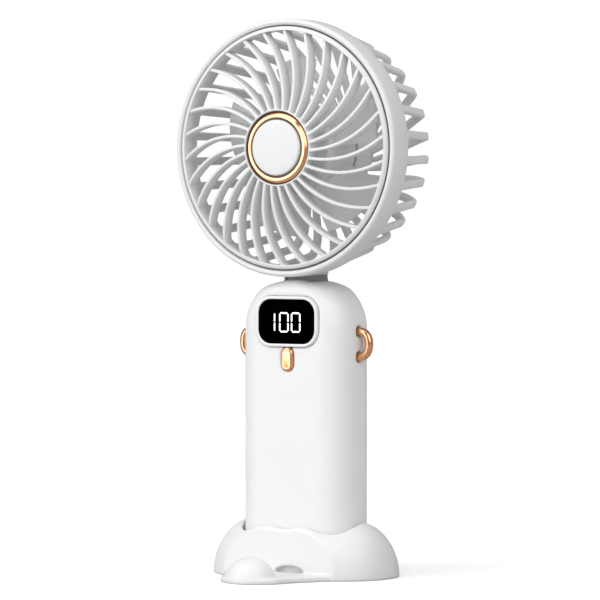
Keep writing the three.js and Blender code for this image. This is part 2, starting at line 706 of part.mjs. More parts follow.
function frontGrille() {
  const rim = revolve([
    [HEAD.ringInner, HEAD.ringRear], [HEAD.ringOuter, HEAD.ringRear],
    [HEAD.ringOuter, HEAD.ringEdge], [HEAD.ringInner, HEAD.ringFront],
  ], 48);
  const lip = HEAD.hubRadius - HEAD.hubLip;
  const centre = revolve([
    [0, HEAD.hubRear], [HEAD.hubRadius, HEAD.hubRear], [HEAD.hubRadius, HEAD.hubFront],
    [lip, HEAD.hubFront], [lip, HEAD.hubFloor], [0, HEAD.hubFloor],
  ], 30);
  const spokes = [];
  for (let i = 0; i < HEAD.spokes; i += 1) {
    spokes.push(spoke((90 + (360 / HEAD.spokes) * i) * DEGREE));
  }
  return join(rim, centre, ...spokes);
}

// A rib's centre line seen from the side: a leg back from the wall, a round corner, then the back.
function ribSide(s) {
  const back = -HEAD.cageBack + HEAD.ribWidth / 2;
  const legStart = new THREE.Vector2(46.2, HEAD.wallRear + 0.8);
  const legEnd = new THREE.Vector2(RIB.legEnd, RIB.legDepth);
  const corner = new THREE.Vector2(RIB.corner, RIB.cornerDepth);
  const backStart = new THREE.Vector2(RIB.backStart, back);
  if (s <= RIB.legShare) return legStart.lerp(legEnd, s / RIB.legShare);
  if (s <= RIB.cornerShare) {
    const share = (s - RIB.legShare) / (RIB.cornerShare - RIB.legShare);
    return new THREE.QuadraticBezierCurve(legEnd, corner, backStart).getPoint(share);
  }
  const share = (s - RIB.cornerShare) / (1 - RIB.cornerShare);
  return backStart.lerp(new THREE.Vector2(HEAD.rearHub - HEAD.rearHubWall, back), share);
}

// A rib runs back from the wall, rounds the corner and sweeps in to the rear hub.
function rib(rimAngle) {
  const angleAt = (radius) => {
    const share = Math.max(0, RIB.legEnd - radius) / (RIB.legEnd - HEAD.rearHub);
    return rimAngle - HEAD.swirl * DEGREE * share ** 2;
  };
  const path = (s) => {
    const point = ribSide(s);
    return polar(point.x, angleAt(point.x), point.y);
  };
  const broad = (s) => {
    const delta = 0.02;
    const ahead = ribSide(Math.min(1, s + delta)).sub(ribSide(Math.max(0, s - delta)));
    ahead.normalize();
    const outward = polar(1, angleAt(ribSide(s).x), 0);
    return outward.multiplyScalar(-ahead.y).add(new THREE.Vector3(0, 0, ahead.x)).normalize();
  };
  const thicknessAt = (s) => {
    const share = Math.max(0, s - RIB.cornerShare) / (1 - RIB.cornerShare);
    return HEAD.ribThickness + (RIB.hubThickness - HEAD.ribThickness) * share;
  };
  return bar(path, broad, thicknessAt, HEAD.ribWidth, RIB.steps);
}

const NECK_SCREW = {
  places: [2.2, -4], head: 1.9, shank: 0.9, from: 43.4, seat: 44.7, tip: 51.2,
  bore: 1.2, counterbore: 2.3, holeEnd: 51.6, clear: 30,
};
const NECK_BOSS = { halfWidth: 6, skin: 0.2, reach: 0.5 };
const MOTOR_SCREW = {
  angles: [30, 150, 270], radius: 8.5, bore: 1.1, head: 1.7, shank: 0.8,
  rear: -21.2, seat: -20.7, tip: -15.7,
};

function motorScrewCentre(angle) {
  const { x, y } = polar(MOTOR_SCREW.radius, angle * DEGREE, 0);
  return [x, y];
}

function motorScrewHoles() {
  const { angles, bore } = MOTOR_SCREW;
  return angles.map((angle) => rod('z', bore, -REACH, 0, motorScrewCentre(angle), 8));
}

function neckBoss() {
  const [rear, front] = [-HINGE.neckHalfDepth, HEAD.wallRear + NECK_BOSS.reach];
  const tube = ring(HEAD.radius - NECK_BOSS.skin, HEAD.wallInner, rear, front, 60);
  const half = NECK_BOSS.halfWidth;
  return tube.intersect(box(-half, half, -REACH, 0, -REACH, REACH));
}

function housingWall() {
  const [inner, outer, rear] = [HEAD.wallInner, HEAD.radius, HEAD.wallRear];
  const front = HEAD.frontRound.map(([inset, height]) => [outer - inset, height]);
  return revolve([
    [inner, rear], [outer, rear], ...front, [HEAD.seam, HEAD.wallFront],
    [HEAD.seam, HEAD.seamLedge], [inner, HEAD.seamLedge],
  ], 48);
}

// The dish at the back of the hub, which the motor is screwed into.
function motorDish() {
  const [hub, back, bevel] = [HEAD.rearHub, -HEAD.cageBack, 0.6];
  const [tube, inside] = [MOTOR.tube + GAP, hub - HEAD.rearHubWall];
  return revolve([
    [tube, MOTOR.plateRear], [HEAD.coverSeat, MOTOR.plateRear], [HEAD.coverSeat, back],
    [hub - bevel, back], [hub, back + bevel], [hub, MOTOR.rimFront], [inside, MOTOR.rimFront],
    [inside, MOTOR.plateFront], [tube, MOTOR.plateFront],
  ], 30);
}

function rearHousing() {
  const ribs = [];
  for (let i = 0; i < HEAD.ribs; i += 1) {
    ribs.push(rib((HEAD.firstRib + (360 / HEAD.ribs) * i) * DEGREE));
  }
  const { places, bore, counterbore, clear } = NECK_SCREW;
  const neckHoles = places.map((z) => join(
    rod('y', bore, -REACH, -clear, [0, z], 12),
    rod('y', counterbore, -HEAD.wallInner, -clear, [0, z], 12),
  ));
  const body = join(housingWall(), motorDish(), neckBoss(), ...ribs);
  return cut(body, ...motorScrewHoles(), ...neckHoles);
}

function hubTrimRing() {
  const { outer, inner, rear, front, bevel } = TRIM;
  const middle = (outer + inner) / 2;
  return revolve([
    [inner, rear], [outer, rear], [outer, front - bevel], [middle, front], [inner, front - bevel],
  ], 30);
}

function hubCap() {
  const { radius, rear, front, bevel } = CAP;
  return revolve([
    [0, rear], [radius, rear], [radius, front - bevel], [radius - bevel, front], [0, front],
  ], 30);
}

function rearHubCover() {
  const { radius, inside, back, bevel } = REAR_COVER;
  return revolve([
    [0, inside], [0, back], [radius - bevel, back], [radius, back + bevel], [radius, inside],
  ], 30);
}

const KNUCKLE = {
  barrelFront: 2, frontRise: 4.5, rearRise: 6, heel: -9.6, heelRise: 2, top: -46,
};

// The knuckle's outline is drawn in the plane of the fold, as [front, up] from the head's axis.
function hingeKnuckle() {
  const drop = HINGE.z - HEAD.z;
  const shape = new THREE.Shape();
  const half = HINGE.neckHalfDepth;
  shape.moveTo(KNUCKLE.barrelFront, drop);
  shape.lineTo(half, drop + KNUCKLE.frontRise);
  shape.lineTo(half, KNUCKLE.top);
  shape.lineTo(-half, KNUCKLE.top);
  shape.lineTo(-half, drop + KNUCKLE.rearRise);
  shape.lineTo(KNUCKLE.heel, drop + KNUCKLE.heelRise);
  const width = 2 * HINGE.halfWidth;
  const options = { depth: width, bevelEnabled: false };
  const neck = new THREE.ExtrudeGeometry(shape, options);
  neck.translate(0, 0, -HINGE.halfWidth);
  neck.rotateY(-90 * DEGREE);
  const centre = [drop, -HINGE.y];
  const barrel = rod('x', HINGE.barrel, -HINGE.halfWidth, HINGE.halfWidth, centre, 24);
  const bore = rod('x', HINGE.pin + GAP, -REACH, REACH, centre);
  const seat = rod('z', HEAD.radius + GAP, -REACH, REACH, [0, 0], 60);
  const screwHoles = NECK_SCREW.places.map(
    (z) => rod('y', NECK_SCREW.bore, -NECK_SCREW.holeEnd, -NECK_SCREW.clear, [0, z], 12),
  );
  return cut(join(toSolid(neck), barrel), seat, bore, ...screwHoles);
}

function neckScrew(z) {
  const { head, shank, from, seat, tip } = NECK_SCREW;
  const profile = [[0, from], [head, from], [head, seat], [shank, seat], [shank, tip], [0, tip]];
  const screw = toGeometry(revolve(profile, 10));
  screw.rotateX(90 * DEGREE);
  screw.translate(0, 0, z);
  return toSolid(screw);
}

function motorScrew(angle) {
  const { head, shank, rear, seat, tip } = MOTOR_SCREW;
  const profile = [[0, rear], [head, rear], [head, seat], [shank, seat], [shank, tip], [0, tip]];
  return revolve(profile, 8, motorScrewCentre(angle));
}

function motorBoard() {
  const blank = ring(MOTOR.board, MOTOR.tube + GAP, MOTOR.boardRear, MOTOR.boardFront, 20);
  return cut(blank, ...motorScrewHoles());
}

const STATOR = {
  from: -13, to: -6, poles: 4, poleHalf: 2.25, radius: 10.5, core: 5,
  poleEnd: 9.4, shoe: [8.6, 11], shoeHalf: 5.4,
};
const COIL = { inner: 5.6, outer: 8.3, half: 4, overhang: 1.8, window: 12 };

function statorCore() {
  const { from, to, poleHalf, radius, core, poleEnd, shoe, shoeHalf } = STATOR;
  let star = rod('z', core, from, to);
  for (let i = 0; i < STATOR.poles; i += 1) {
    const leg = box(core - 2, poleEnd, -poleHalf, poleHalf, from, to);
    const pole = join(leg, box(...shoe, -shoeHalf, shoeHalf, from, to));
    star = star.add(toSolid(toGeometry(pole).rotateZ(90 * DEGREE * i)));
  }
  const trimmed = star.intersect(rod('z', radius, from, to, [0, 0], 24));
  return trimmed.subtract(rod('z', MOTOR.tube + GAP, -REACH, REACH));
}

function statorCoil(i) {
  const { from, to, poleHalf } = STATOR;
  const { inner, outer, half, overhang } = COIL;
  const slot = poleHalf + GAP;
  const window = box(0, COIL.window, -slot, slot, from - GAP, to + GAP);
  const coil = box(inner, outer, -half, half, from - overhang, to + overhang).subtract(window);
  return toSolid(toGeometry(coil).rotateZ(90 * DEGREE * i));
}

function fanHead() {
  const group = new THREE.Group();
  group.add(piece('rear_housing', rearHousing(), HEAD_WHITE));
  group.add(piece('front_grille', frontGrille(), HEAD_WHITE));
  group.add(piece('hub_trim_ring', hubTrimRing(), COPPER));
  group.add(piece('hub_cap', hubCap(), HEAD_WHITE));
  group.add(piece('hinge_knuckle', hingeKnuckle(), GREY));
  NECK_SCREW.places.forEach((z, i) => {
    group.add(piece(`neck_screw_${i + 1}`, neckScrew(z), STEEL));
  });
  group.add(piece('rear_hub_cover', rearHubCover(), HEAD_WHITE));
  MOTOR_SCREW.angles.forEach((angle, i) => {
    group.add(piece(`motor_screw_${i + 1}`, motorScrew(angle), STEEL));
  });
  group.add(piece('motor_board', motorBoard(), BOARD));
  const tube = ring(MOTOR.tube, MOTOR.tubeBore, MOTOR.tubeRear, MOTOR.tubeFront, 16);
  group.add(piece('bearing_tube', tube, BRASS));
  const { outer, bore } = BEARING;
  group.add(piece('rear_bearing', ring(outer, bore, ...BEARING.rear, 12), STEEL));
  group.add(piece('front_bearing', ring(outer, bore, ...BEARING.front, 12), STEEL));
  group.add(piece('stator_core', statorCore(), DARK_STEEL));
  for (let i = 0; i < STATOR.poles; i += 1) {
    group.add(piece(`stator_coil_${i + 1}`, statorCoil(i), WIRE));
  }
  return group;
}

// ---------------------------------------------------------------- impeller and rotor

function blade(startAngle) {
  const inner = ROTOR.hub - 0.5;
  const middle = (inner + ROTOR.tip) / 2;
  const angleAt = (s) => startAngle + ROTOR.bladeAngle * DEGREE * s;
  const height = (s) => ROTOR.pitchHeight * (0.5 - s) - ROTOR.bladeDrop;
  const path = (s) => polar(middle, angleAt(s), height(s));
  const outward = (s) => polar(1, angleAt(s), 0);
  return bar(path, outward, () => ROTOR.bladeThickness, ROTOR.tip - inner, 5);
}

function impeller() {
  const { hub, bore, boss, cupInside, front, frontBevel, roof, bossRear, boreEnd, rear } = ROTOR;
  const cup = revolve([
    [0, boreEnd], [bore, boreEnd], [bore, bossRear], [boss, bossRear], [boss, roof],
    [cupInside, roof], [cupInside, rear], [hub, rear], [hub, front - frontBevel],
    [hub - frontBevel, front], [0, front],
  ], 30);
  const blades = [];
  for (let i = 0; i < ROTOR.blades; i += 1) {
    blades.push(blade((ROTOR.firstBlade + (360 / ROTOR.blades) * i) * DEGREE));
  }
  return join(cup, ...blades);
}

function rotorCan() {
  const { outer, inner, rear, front, floor, bore } = CAN;
  return revolve([
    [inner, rear], [outer, rear], [outer, front], [bore, front], [bore, floor], [inner, floor],
  ], 24);
}

function rotorMagnet() {
  return ring(MAGNET_RING.outer, MAGNET_RING.inner, MAGNET_RING.rear, MAGNET_RING.front, 24);
}

function rotor() {
  const group = new THREE.Group();
  group.add(piece('impeller', impeller(), HEAD_WHITE));
  group.add(piece('rotor_can', rotorCan(), STEEL));
  group.add(piece('rotor_magnet', rotorMagnet(), MAGNET));
  const shaft = rod('z', MOTOR.shaft, SHAFT.rear, SHAFT.front, [0, 0], 12);
  group.add(piece('motor_shaft', shaft, STEEL));
  const clip = ring(SHAFT.clip, BEARING.bore, SHAFT.clipRear, SHAFT.clipFront, 12);
  group.add(piece('shaft_clip', clip, STEEL));
  return group;
}

// ---------------------------------------------------------------- assembly

const headFrame = new THREE.Group();
headFrame.position.set(0, 0, HEAD.z);
headFrame.rotation.x = 90 * DEGREE;
headFrame.add(fanHead(), rotor());

const fan = new THREE.Group();
fan.add(stand(), handle(), headFrame);

export default fan;
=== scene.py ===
"""The looks of a handheld electric fan in its stand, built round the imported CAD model.

Shapes are worked out in millimetres in the row frame and written to the meshes in metres.
The head's pieces are drawn in the head's own frame: x to the right, y up, z toward the front.
"""

import json
import math

import bpy
import numpy as np
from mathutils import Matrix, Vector


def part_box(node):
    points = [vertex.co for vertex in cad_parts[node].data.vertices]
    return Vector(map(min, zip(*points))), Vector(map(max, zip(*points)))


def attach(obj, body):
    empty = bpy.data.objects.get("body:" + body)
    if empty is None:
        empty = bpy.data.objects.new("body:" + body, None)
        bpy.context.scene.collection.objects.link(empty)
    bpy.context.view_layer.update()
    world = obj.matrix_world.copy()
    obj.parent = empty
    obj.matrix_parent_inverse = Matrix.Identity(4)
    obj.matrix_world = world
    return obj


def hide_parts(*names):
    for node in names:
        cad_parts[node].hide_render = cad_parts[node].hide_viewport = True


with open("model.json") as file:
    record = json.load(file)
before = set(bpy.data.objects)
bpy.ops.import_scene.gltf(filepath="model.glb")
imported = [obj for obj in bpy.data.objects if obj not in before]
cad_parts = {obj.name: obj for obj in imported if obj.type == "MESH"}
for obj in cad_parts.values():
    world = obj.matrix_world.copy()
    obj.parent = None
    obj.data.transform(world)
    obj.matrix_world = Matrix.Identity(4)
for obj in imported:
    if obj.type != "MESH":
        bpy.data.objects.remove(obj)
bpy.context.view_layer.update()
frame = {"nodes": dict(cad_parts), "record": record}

MM = 0.001
TURN = 2 * math.pi
TINY = 1e-6

# The angles in degrees past which an edge is shown crisp.
CREASE, CAD_CREASE, NET_CREASE, BUTTON_CREASE = 40, 35, 60, 50


# ---- places from the frame

def node_box(name):
    """A CAD node's lowest and highest corners, in millimetres."""
    low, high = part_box(name)
    return np.array(low) / MM, np.array(high) / MM


def middle(name):
    low, high = node_box(name)
    return (low + high) / 2


shell_low, shell_high = node_box("handle_front_shell")
cover_low, cover_high = node_box("handle_rear_cover")
base_low, base_high = node_box("base_shell")
housing_low, housing_high = node_box("rear_housing")
knuckle_low, knuckle_high = node_box("hinge_knuckle")
bezel_low, bezel_high = node_box("display_bezel")
window_low, window_high = node_box("display_window")
button_low, button_high = node_box("power_button")
cap_low, cap_high = node_box("hub_cap")
trim_low, trim_high = node_box("hub_trim_ring")
hub_cover_low, hub_cover_high = node_box("rear_hub_cover")
pin_centre = middle("hinge_pin")
port_centre = middle("usb_c_socket")

HEAD_Z = (housing_low[2] + housing_high[2]) / 2
HEAD_RADIUS = (housing_high[0] - housing_low[0]) / 2
HANDLE_HALF_WIDTH = shell_high[0]
HANDLE_HALF_DEPTH = cover_high[1]
HANDLE_TOP = shell_high[2]
HANDLE_BOTTOM = shell_low[2]


# ---- signed fields

def rounded_both(a, b, radius):
    """Inside both fields, with the edge between them rounded to that radius."""
    corner = np.hypot(np.maximum(a + radius, 0), np.maximum(b + radius, 0))
    return corner + np.minimum(np.maximum(a, b), -radius)


def rounded_either(a, b, radius):
    """Inside either field, with the inner corner between them filled to that radius."""
    return -rounded_both(-a, -b, radius)


def carve(body, hole, radius):
    """The body less the hole, with the hole's rim rounded."""
    return rounded_both(body, -hole, radius)


def rectangle(u, v, half_u, half_v, corner):
    """Distance to a rectangle with round corners, centred on 0."""
    du = np.abs(u) - half_u + corner
    dv = np.abs(v) - half_v + corner
    outside = np.hypot(np.maximum(du, 0), np.maximum(dv, 0))
    return outside + np.minimum(np.maximum(du, dv), 0) - corner


def ellipse(u, v, half_u, half_v):
    """Near distance to an ellipse centred on 0."""
    first = np.maximum(np.hypot(u / half_u, v / half_v), TINY)
    second = np.maximum(np.hypot(u / half_u ** 2, v / half_v ** 2), TINY / half_u)
    return first * (first - 1) / second


def slab(value, low, high):
    """Inside where the value lies between low and high."""
    return np.maximum(low - value, value - high)


def even_field(values, step):
    """The same surface with a slope of about 1, so that roundings come out at their size."""
    least_slope = 1e-3
    slopes = np.gradient(values, step)
    return values / np.maximum(np.sqrt(sum(slope ** 2 for slope in slopes)), least_slope)


# ---- meshes

def surface_net(field, low, high, step):
    """Corners and four-sided faces of the surface where the field crosses 0."""
    counts = np.ceil((np.array(high) - low) / step).astype(int) + 1
    axes = [low[i] + step * np.arange(counts[i]) for i in range(3)]
    x, y, z = np.meshgrid(*axes, indexing="ij", sparse=True)
    values = np.broadcast_to(field(x, y, z, step), counts)
    inside = values < 0
    corners = [(i, j, k) for i in (0, 1) for j in (0, 1) for k in (0, 1)]
    cells = counts - 1
    total = sum(
        inside[i:i + cells[0], j:j + cells[1], k:k + cells[2]].astype(np.int8)
        for i, j, k in corners
    )
    active = (total > 0) & (total < 8)
    index = np.argwhere(active)
    numbers = np.full(cells, -1)
    numbers[active] = np.arange(len(index))
    spot_sum = np.zeros((len(index), 3))
    hits = np.zeros(len(index))
    for a in corners:
        for axis in range(3):
            if a[axis] == 1:
                continue
            unit = np.eye(3, dtype=int)[axis]
            start = index + a
            near = values[tuple(start.T)]
            far = values[tuple((start + unit).T)]
            crossed = (near < 0) != (far < 0)
            share = near[crossed] / (near[crossed] - far[crossed])
            spot_sum[crossed] += start[crossed] + share[:, None] * unit
            hits[crossed] += 1
    spots = np.array(low) + step * spot_sum / hits[:, None]
    return spots, net_faces(inside, numbers)


def net_faces(inside, numbers):
    """One face round each grid edge that the surface crosses, facing outward."""
    faces = []
    for axis in range(3):
        u, v = (axis + 1) % 3, (axis + 2) % 3
        moved = np.moveaxis(inside, (axis, u, v), (0, 1, 2))
        cells = np.moveaxis(numbers, (axis, u, v), (0, 1, 2))
        here, there = moved[:-1, 1:-1, 1:-1], moved[1:, 1:-1, 1:-1]
        i, j, k = np.nonzero(here != there)
        outward = here[i, j, k]
        quad = np.stack([cells[i, j, k], cells[i, j + 1, k], cells[i, j + 1, k + 1],
                         cells[i, j, k + 1]], axis=1)
        quad[~outward] = quad[~outward][:, ::-1]
        faces.append(quad)
    return np.concatenate(faces)


def relaxed(spots, faces, rounds):
    """Evens out the small ripples of a surface net."""
    ends = np.concatenate([np.stack([faces[:, i], faces[:, (i + 1) % 4]], 1) for i in range(4)])
    for _ in range(rounds):
        total = np.zeros_like(spots)
        count = np.zeros(len(spots))
        np.add.at(total, ends[:, 0], spots[ends[:, 1]])
        np.add.at(count, ends[:, 0], 1)
        spots = 0.5 * spots + 0.5 * total / count[:, None]
    return spots


def object_from(name, spots, faces, material, body, sharp=CREASE):
    """A mesh object from corners in millimetres, riding on a body."""
    mesh = bpy.data.meshes.new(name)
    mesh.from_pydata((np.asarray(spots) * MM).tolist(), [], [list(map(int, f)) for f in faces])
    mesh.validate()
    mesh.materials.append(material)
    mesh.shade_smooth()
    mesh.set_sharp_from_angle(angle=math.radians(sharp))
    piece = bpy.data.objects.new(name, mesh)
    bpy.context.scene.collection.objects.link(piece)
    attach(piece, body)
    return piece


def net_object(name, field, low, high, margin, step, rounds, material, body):
    """A mesh object from the surface of a field, looked for in a box and a margin round it."""
    spots, faces = surface_net(field, low - margin, high + margin, step)
    spots = relaxed(spots, faces, rounds)
    return object_from(name, spots, faces, material, body, NET_CREASE)


class Builder:
    """Gathers closed bodies into one list of corners and faces."""

    def __init__(self):
        self.spots = []
        self.faces = []

    def add(self, spots, faces):
        start = len(self.spots)
        self.spots.extend(tuple(map(float, spot)) for spot in spots)
        self.faces.extend([start + i for i in face] for face in faces)

    def to_row_frame(self):
        """From the head's frame to the row frame."""
        self.spots = [(x, -z, y + HEAD_Z) for x, y, z in self.spots]


def rings_body(rings, closed=False):
    """A body skinned over rings of equal length, with flat ends, or closed into a loop."""
    count = len(rings[0])
    spots = [spot for ring in rings for spot in ring]
    faces = []
    spans = len(rings) if closed else len(rings) - 1
    for i in range(spans):
        here, there = i * count, ((i + 1) % len(rings)) * count
        for j in range(count):
            k = (j + 1) % count
            faces.append([here + j, here + k, there + k, there + j])
    if not closed:
        faces.append(list(range(count))[::-1])
        faces.append([(len(rings) - 1) * count + j for j in range(count)])
    return spots, faces


def turned(profile, segments):
    """A closed [radius, height] profile turned about z. Points on the axis are kept just off it."""
    axis_gap = 1e-3
    rings = []
    for radius, height in profile:
        radius = max(radius, axis_gap)
        rings.append([(radius * math.cos(TURN * i / segments),
                       radius * math.sin(TURN * i / segments), height)
                      for i in range(segments)])
    return rings_body(rings, closed=True)


def softened(profile, radius, steps=4):
    """A closed profile with each corner rounded, by up to that radius."""
    side_share, near_axis, least_reach = 0.45, 0.01, 1e-4
    result = []
    points = [Vector(p) for p in profile]
    for i, corner in enumerate(points):
        before = points[i - 1] - corner
        after = points[(i + 1) % len(points)] - corner
        reach = min(radius, before.length * side_share, after.length * side_share)
        if corner.x < near_axis or reach < least_reach:
            result.append(tuple(corner))
            continue
        start = corner + before.normalized() * reach
        end = corner + after.normalized() * reach
        for step in range(steps + 1):
            t = step / steps
            result.append(tuple(start * (1 - t) ** 2 + corner * (2 * t * (1 - t)) + end * t ** 2))
    return result


def rectangle_outline(half_width, half_height, corner, points_per_corner=10):
    """The outline of a rectangle with round corners, as (x, z) points."""
    outline = []
    for quarter in range(4):
        sign_x = 1 if quarter in (0, 3) else -1
        sign_z = 1 if quarter in (0, 1) else -1
        for i in range(points_per_corner):
            angle = (quarter + i / (points_per_corner - 1)) * math.pi / 2
            x = sign_x * (half_width - corner) + corner * math.cos(angle)
            z = sign_z * (half_height - corner) + corner * math.sin(angle)
            outline.append((x, z))
    return outline


def stacked(half_width, half_height, corner, steps, centre, closed=False):
    """Rounded outlines stacked along y: each step is (inset, y)."""
    least_corner = 0.05
    rings = []
    for inset, y in steps:
        outline = rectangle_outline(half_width - inset, half_height - inset,
                                    max(corner - inset, least_corner))
        rings.append([(centre[0] + x, y, centre[1] + z) for x, z in outline])
    return rings_body(rings, closed)


def rounded_front(front, rear, edge):
    """Steps from the rear of a plate to its front, with the front edge rounded."""
    steps = 5
    result = [(0, rear), (0, front + edge)]
    for i in range(1, steps + 1):
        angle = i / steps * math.pi / 2
        result.append((edge * (1 - math.cos(angle)), front + edge * (1 - math.sin(angle))))
    return result


def swept_bar(path, broad, half_thickness, half_width, stations, corner_share):
    """A bar with a softly rounded rectangular section along a path(s), s from 0 to 1."""
    nudge, points_per_corner = 0.01, 4
    rings = []
    for i in range(stations):
        s = i / (stations - 1)
        ahead = np.array(path(min(1, s + nudge)))
        tangent = ahead - np.array(path(max(0, s - nudge)))
        tangent /= np.linalg.norm(tangent)
        wide = np.array(broad(s))
        across = np.cross(wide, tangent)
        across /= np.linalg.norm(across)
        thin, deep = half_thickness(s), half_width(s)
        corner = min(thin, deep) * corner_share * 2
        outline = rectangle_outline(thin, deep, corner, points_per_corner)
        rings.append([np.array(path(s)) + across * a + wide * b for a, b in outline])
    return rings_body(rings)


def turned_outward(faces):
    return [face[::-1] for face in faces]


# ---- materials

# Nearly all of a noise texture's values lie between these.
NOISE_LOW, NOISE_HIGH = 0.3, 0.7


def material_nodes(name):
    material = bpy.data.materials.new(name)
    material.use_nodes = True
    nodes = material.node_tree.nodes
    return material, nodes, material.node_tree.links, nodes["Principled BSDF"]


def object_texture(nodes, links, kind, scale):
    """A texture node laid out in the object's own frame."""
    place = nodes.new("ShaderNodeTexCoord")
    texture = nodes.new(kind)
    texture.inputs["Scale"].default_value = scale
    links.new(place.outputs["Object"], texture.inputs["Vector"])
    return texture


def noise_texture(nodes, links, scale, detail):
    noise = object_texture(nodes, links, "ShaderNodeTexNoise", scale)
    noise.inputs["Detail"].default_value = detail
    return noise


def vary(nodes, links, source, low, high, socket):
    """Spreads a texture's middle over low to high, into a socket."""
    ramp = nodes.new("ShaderNodeMapRange")
    ramp.inputs["From Min"].default_value = NOISE_LOW
    ramp.inputs["From Max"].default_value = NOISE_HIGH
    ramp.inputs["To Min"].default_value = low
    ramp.inputs["To Max"].default_value = high
    links.new(source, ramp.inputs["Value"])
    links.new(ramp.outputs["Result"], socket)


def tint(nodes, links, source, first, second, socket):
    """Spreads a texture's middle from the first colour to the second, into a socket."""
    ramp = nodes.new("ShaderNodeValToRGB")
    ramp.color_ramp.elements[0].position = NOISE_LOW
    ramp.color_ramp.elements[0].color = (*first, 1)
    ramp.color_ramp.elements[1].position = NOISE_HIGH
    ramp.color_ramp.elements[1].color = (*second, 1)
    links.new(source, ramp.inputs["Fac"])
    links.new(ramp.outputs["Color"], socket)


def grain_bump(nodes, links, shader, scale, strength, height_mm):
    grain = noise_texture(nodes, links, scale, detail=3)
    bump = nodes.new("ShaderNodeBump")
    bump.inputs["Strength"].default_value = strength
    bump.inputs["Distance"].default_value = height_mm * MM
    links.new(grain.outputs["Fac"], bump.inputs["Height"])
    links.new(bump.outputs["Normal"], shader.inputs["Normal"])


def moulded_plastic(name, color, roughness, grain=0.25, metallic=0.0):
    """Satin moulded plastic: a fine eroded grain, with faint drifts of tone and sheen."""
    material, nodes, links, shader = material_nodes(name)
    shader.inputs["Metallic"].default_value = metallic
    shader.inputs["Specular IOR Level"].default_value = 0.42
    drift = noise_texture(nodes, links, scale=60, detail=3)
    darker = tuple(channel * 0.985 for channel in color)
    tint(nodes, links, drift.outputs["Fac"], darker, color, shader.inputs["Base Color"])
    sheen = noise_texture(nodes, links, scale=420, detail=4)
    vary(nodes, links, sheen.outputs["Fac"], roughness - 0.04, roughness + 0.05,
         shader.inputs["Roughness"])
    grain_bump(nodes, links, shader, scale=5200, strength=grain, height_mm=0.02)
    return material


def polished_metal(name, color, roughness):
    """Plated metal with a soft polish and the faintest orange peel."""
    material, nodes, links, shader = material_nodes(name)
    shader.inputs["Metallic"].default_value = 1
    drift = noise_texture(nodes, links, scale=300, detail=2)
    darker = tuple(channel * 0.93 for channel in color)
    tint(nodes, links, drift.outputs["Fac"], darker, color, shader.inputs["Base Color"])
    scuffs = noise_texture(nodes, links, scale=1500, detail=5)
    vary(nodes, links, scuffs.outputs["Fac"], roughness * 0.8, roughness * 1.3,
         shader.inputs["Roughness"])
    grain_bump(nodes, links, shader, scale=900, strength=0.08, height_mm=0.01)
    return material


def gloss_black(name):
    """A smoked window with the faintest smears."""
    material, nodes, links, shader = material_nodes(name)
    shader.inputs["Specular IOR Level"].default_value = 0
    drift = noise_texture(nodes, links, scale=200, detail=2)
    tint(nodes, links, drift.outputs["Fac"], (0.0002, 0.0002, 0.0003), (0.0005, 0.0005, 0.0006),
         shader.inputs["Base Color"])
    smear = noise_texture(nodes, links, scale=150, detail=4)
    vary(nodes, links, smear.outputs["Fac"], 0.05, 0.12, shader.inputs["Roughness"])
    return material


def lit_segment(name):
    """A white light-emitting segment, with a glow that is not quite even."""
    material, nodes, links, shader = material_nodes(name)
    shader.inputs["Base Color"].default_value = (0.9, 0.92, 0.95, 1)
    shader.inputs["Emission Color"].default_value = (0.93, 0.96, 1, 1)
    glow = noise_texture(nodes, links, scale=900, detail=2)
    vary(nodes, links, glow.outputs["Fac"], 0.75, 0.9, shader.inputs["Emission Strength"])
    return material


def circuit_green(name):
    """Solder mask over faint copper tracks."""
    material, nodes, links, shader = material_nodes(name)
    tracks = object_texture(nodes, links, "ShaderNodeTexBrick", 260)
    tracks.inputs["Color1"].default_value = (0.01, 0.09, 0.05, 1)
    tracks.inputs["Color2"].default_value = (0.015, 0.12, 0.07, 1)
    tracks.inputs["Mortar"].default_value = (0.03, 0.2, 0.12, 1)
    links.new(tracks.outputs["Color"], shader.inputs["Base Color"])
    gloss = noise_texture(nodes, links, scale=500, detail=2)
    vary(nodes, links, gloss.outputs["Fac"], 0.3, 0.45, shader.inputs["Roughness"])
    return material


def wound_wire(name):
    """Enamelled copper wire, laid in close turns."""
    material, nodes, links, shader = material_nodes(name)
    shader.inputs["Metallic"].default_value = 0.9
    shader.inputs["Roughness"].default_value = 0.28
    turns = object_texture(nodes, links, "ShaderNodeTexWave", 900)
    tint(nodes, links, turns.outputs["Fac"], (0.25, 0.07, 0.02), (0.62, 0.24, 0.09),
         shader.inputs["Base Color"])
    bump = nodes.new("ShaderNodeBump")
    bump.inputs["Distance"].default_value = 0.1 * MM
    links.new(turns.outputs["Fac"], bump.inputs["Height"])
    links.new(bump.outputs["Normal"], shader.inputs["Normal"])
    return material


BODY_WHITE = moulded_plastic("body_white_plastic", (0.82, 0.825, 0.825), roughness=0.42)
BASE_WHITE = moulded_plastic("base_white_plastic", (0.74, 0.745, 0.74), roughness=0.45)
HEAD_WHITE = moulded_plastic("head_white_plastic", (0.76, 0.765, 0.765), roughness=0.38)
# The hinge's own grey plastic, made darker still as painted shade for the shade it sits in under
# the head.
HINGE_GREY_AND_SHADE = moulded_plastic("hinge_grey_plastic_and_shade", (0.27, 0.275, 0.28), roughness=0.45)
SOFT_RUBBER = moulded_plastic("soft_rubber", (0.12, 0.12, 0.12), roughness=0.8, grain=0.6)
FOIL_POUCH = moulded_plastic("battery_foil", (0.35, 0.4, 0.5), roughness=0.35, grain=0.4,
                             metallic=0.6)
DARK_MAGNET = moulded_plastic("sintered_magnet", (0.05, 0.05, 0.05), roughness=0.65, grain=0.6)
CORE_STEEL = moulded_plastic("laminated_steel", (0.12, 0.13, 0.14), roughness=0.4, grain=0.3,
                             metallic=0.9)
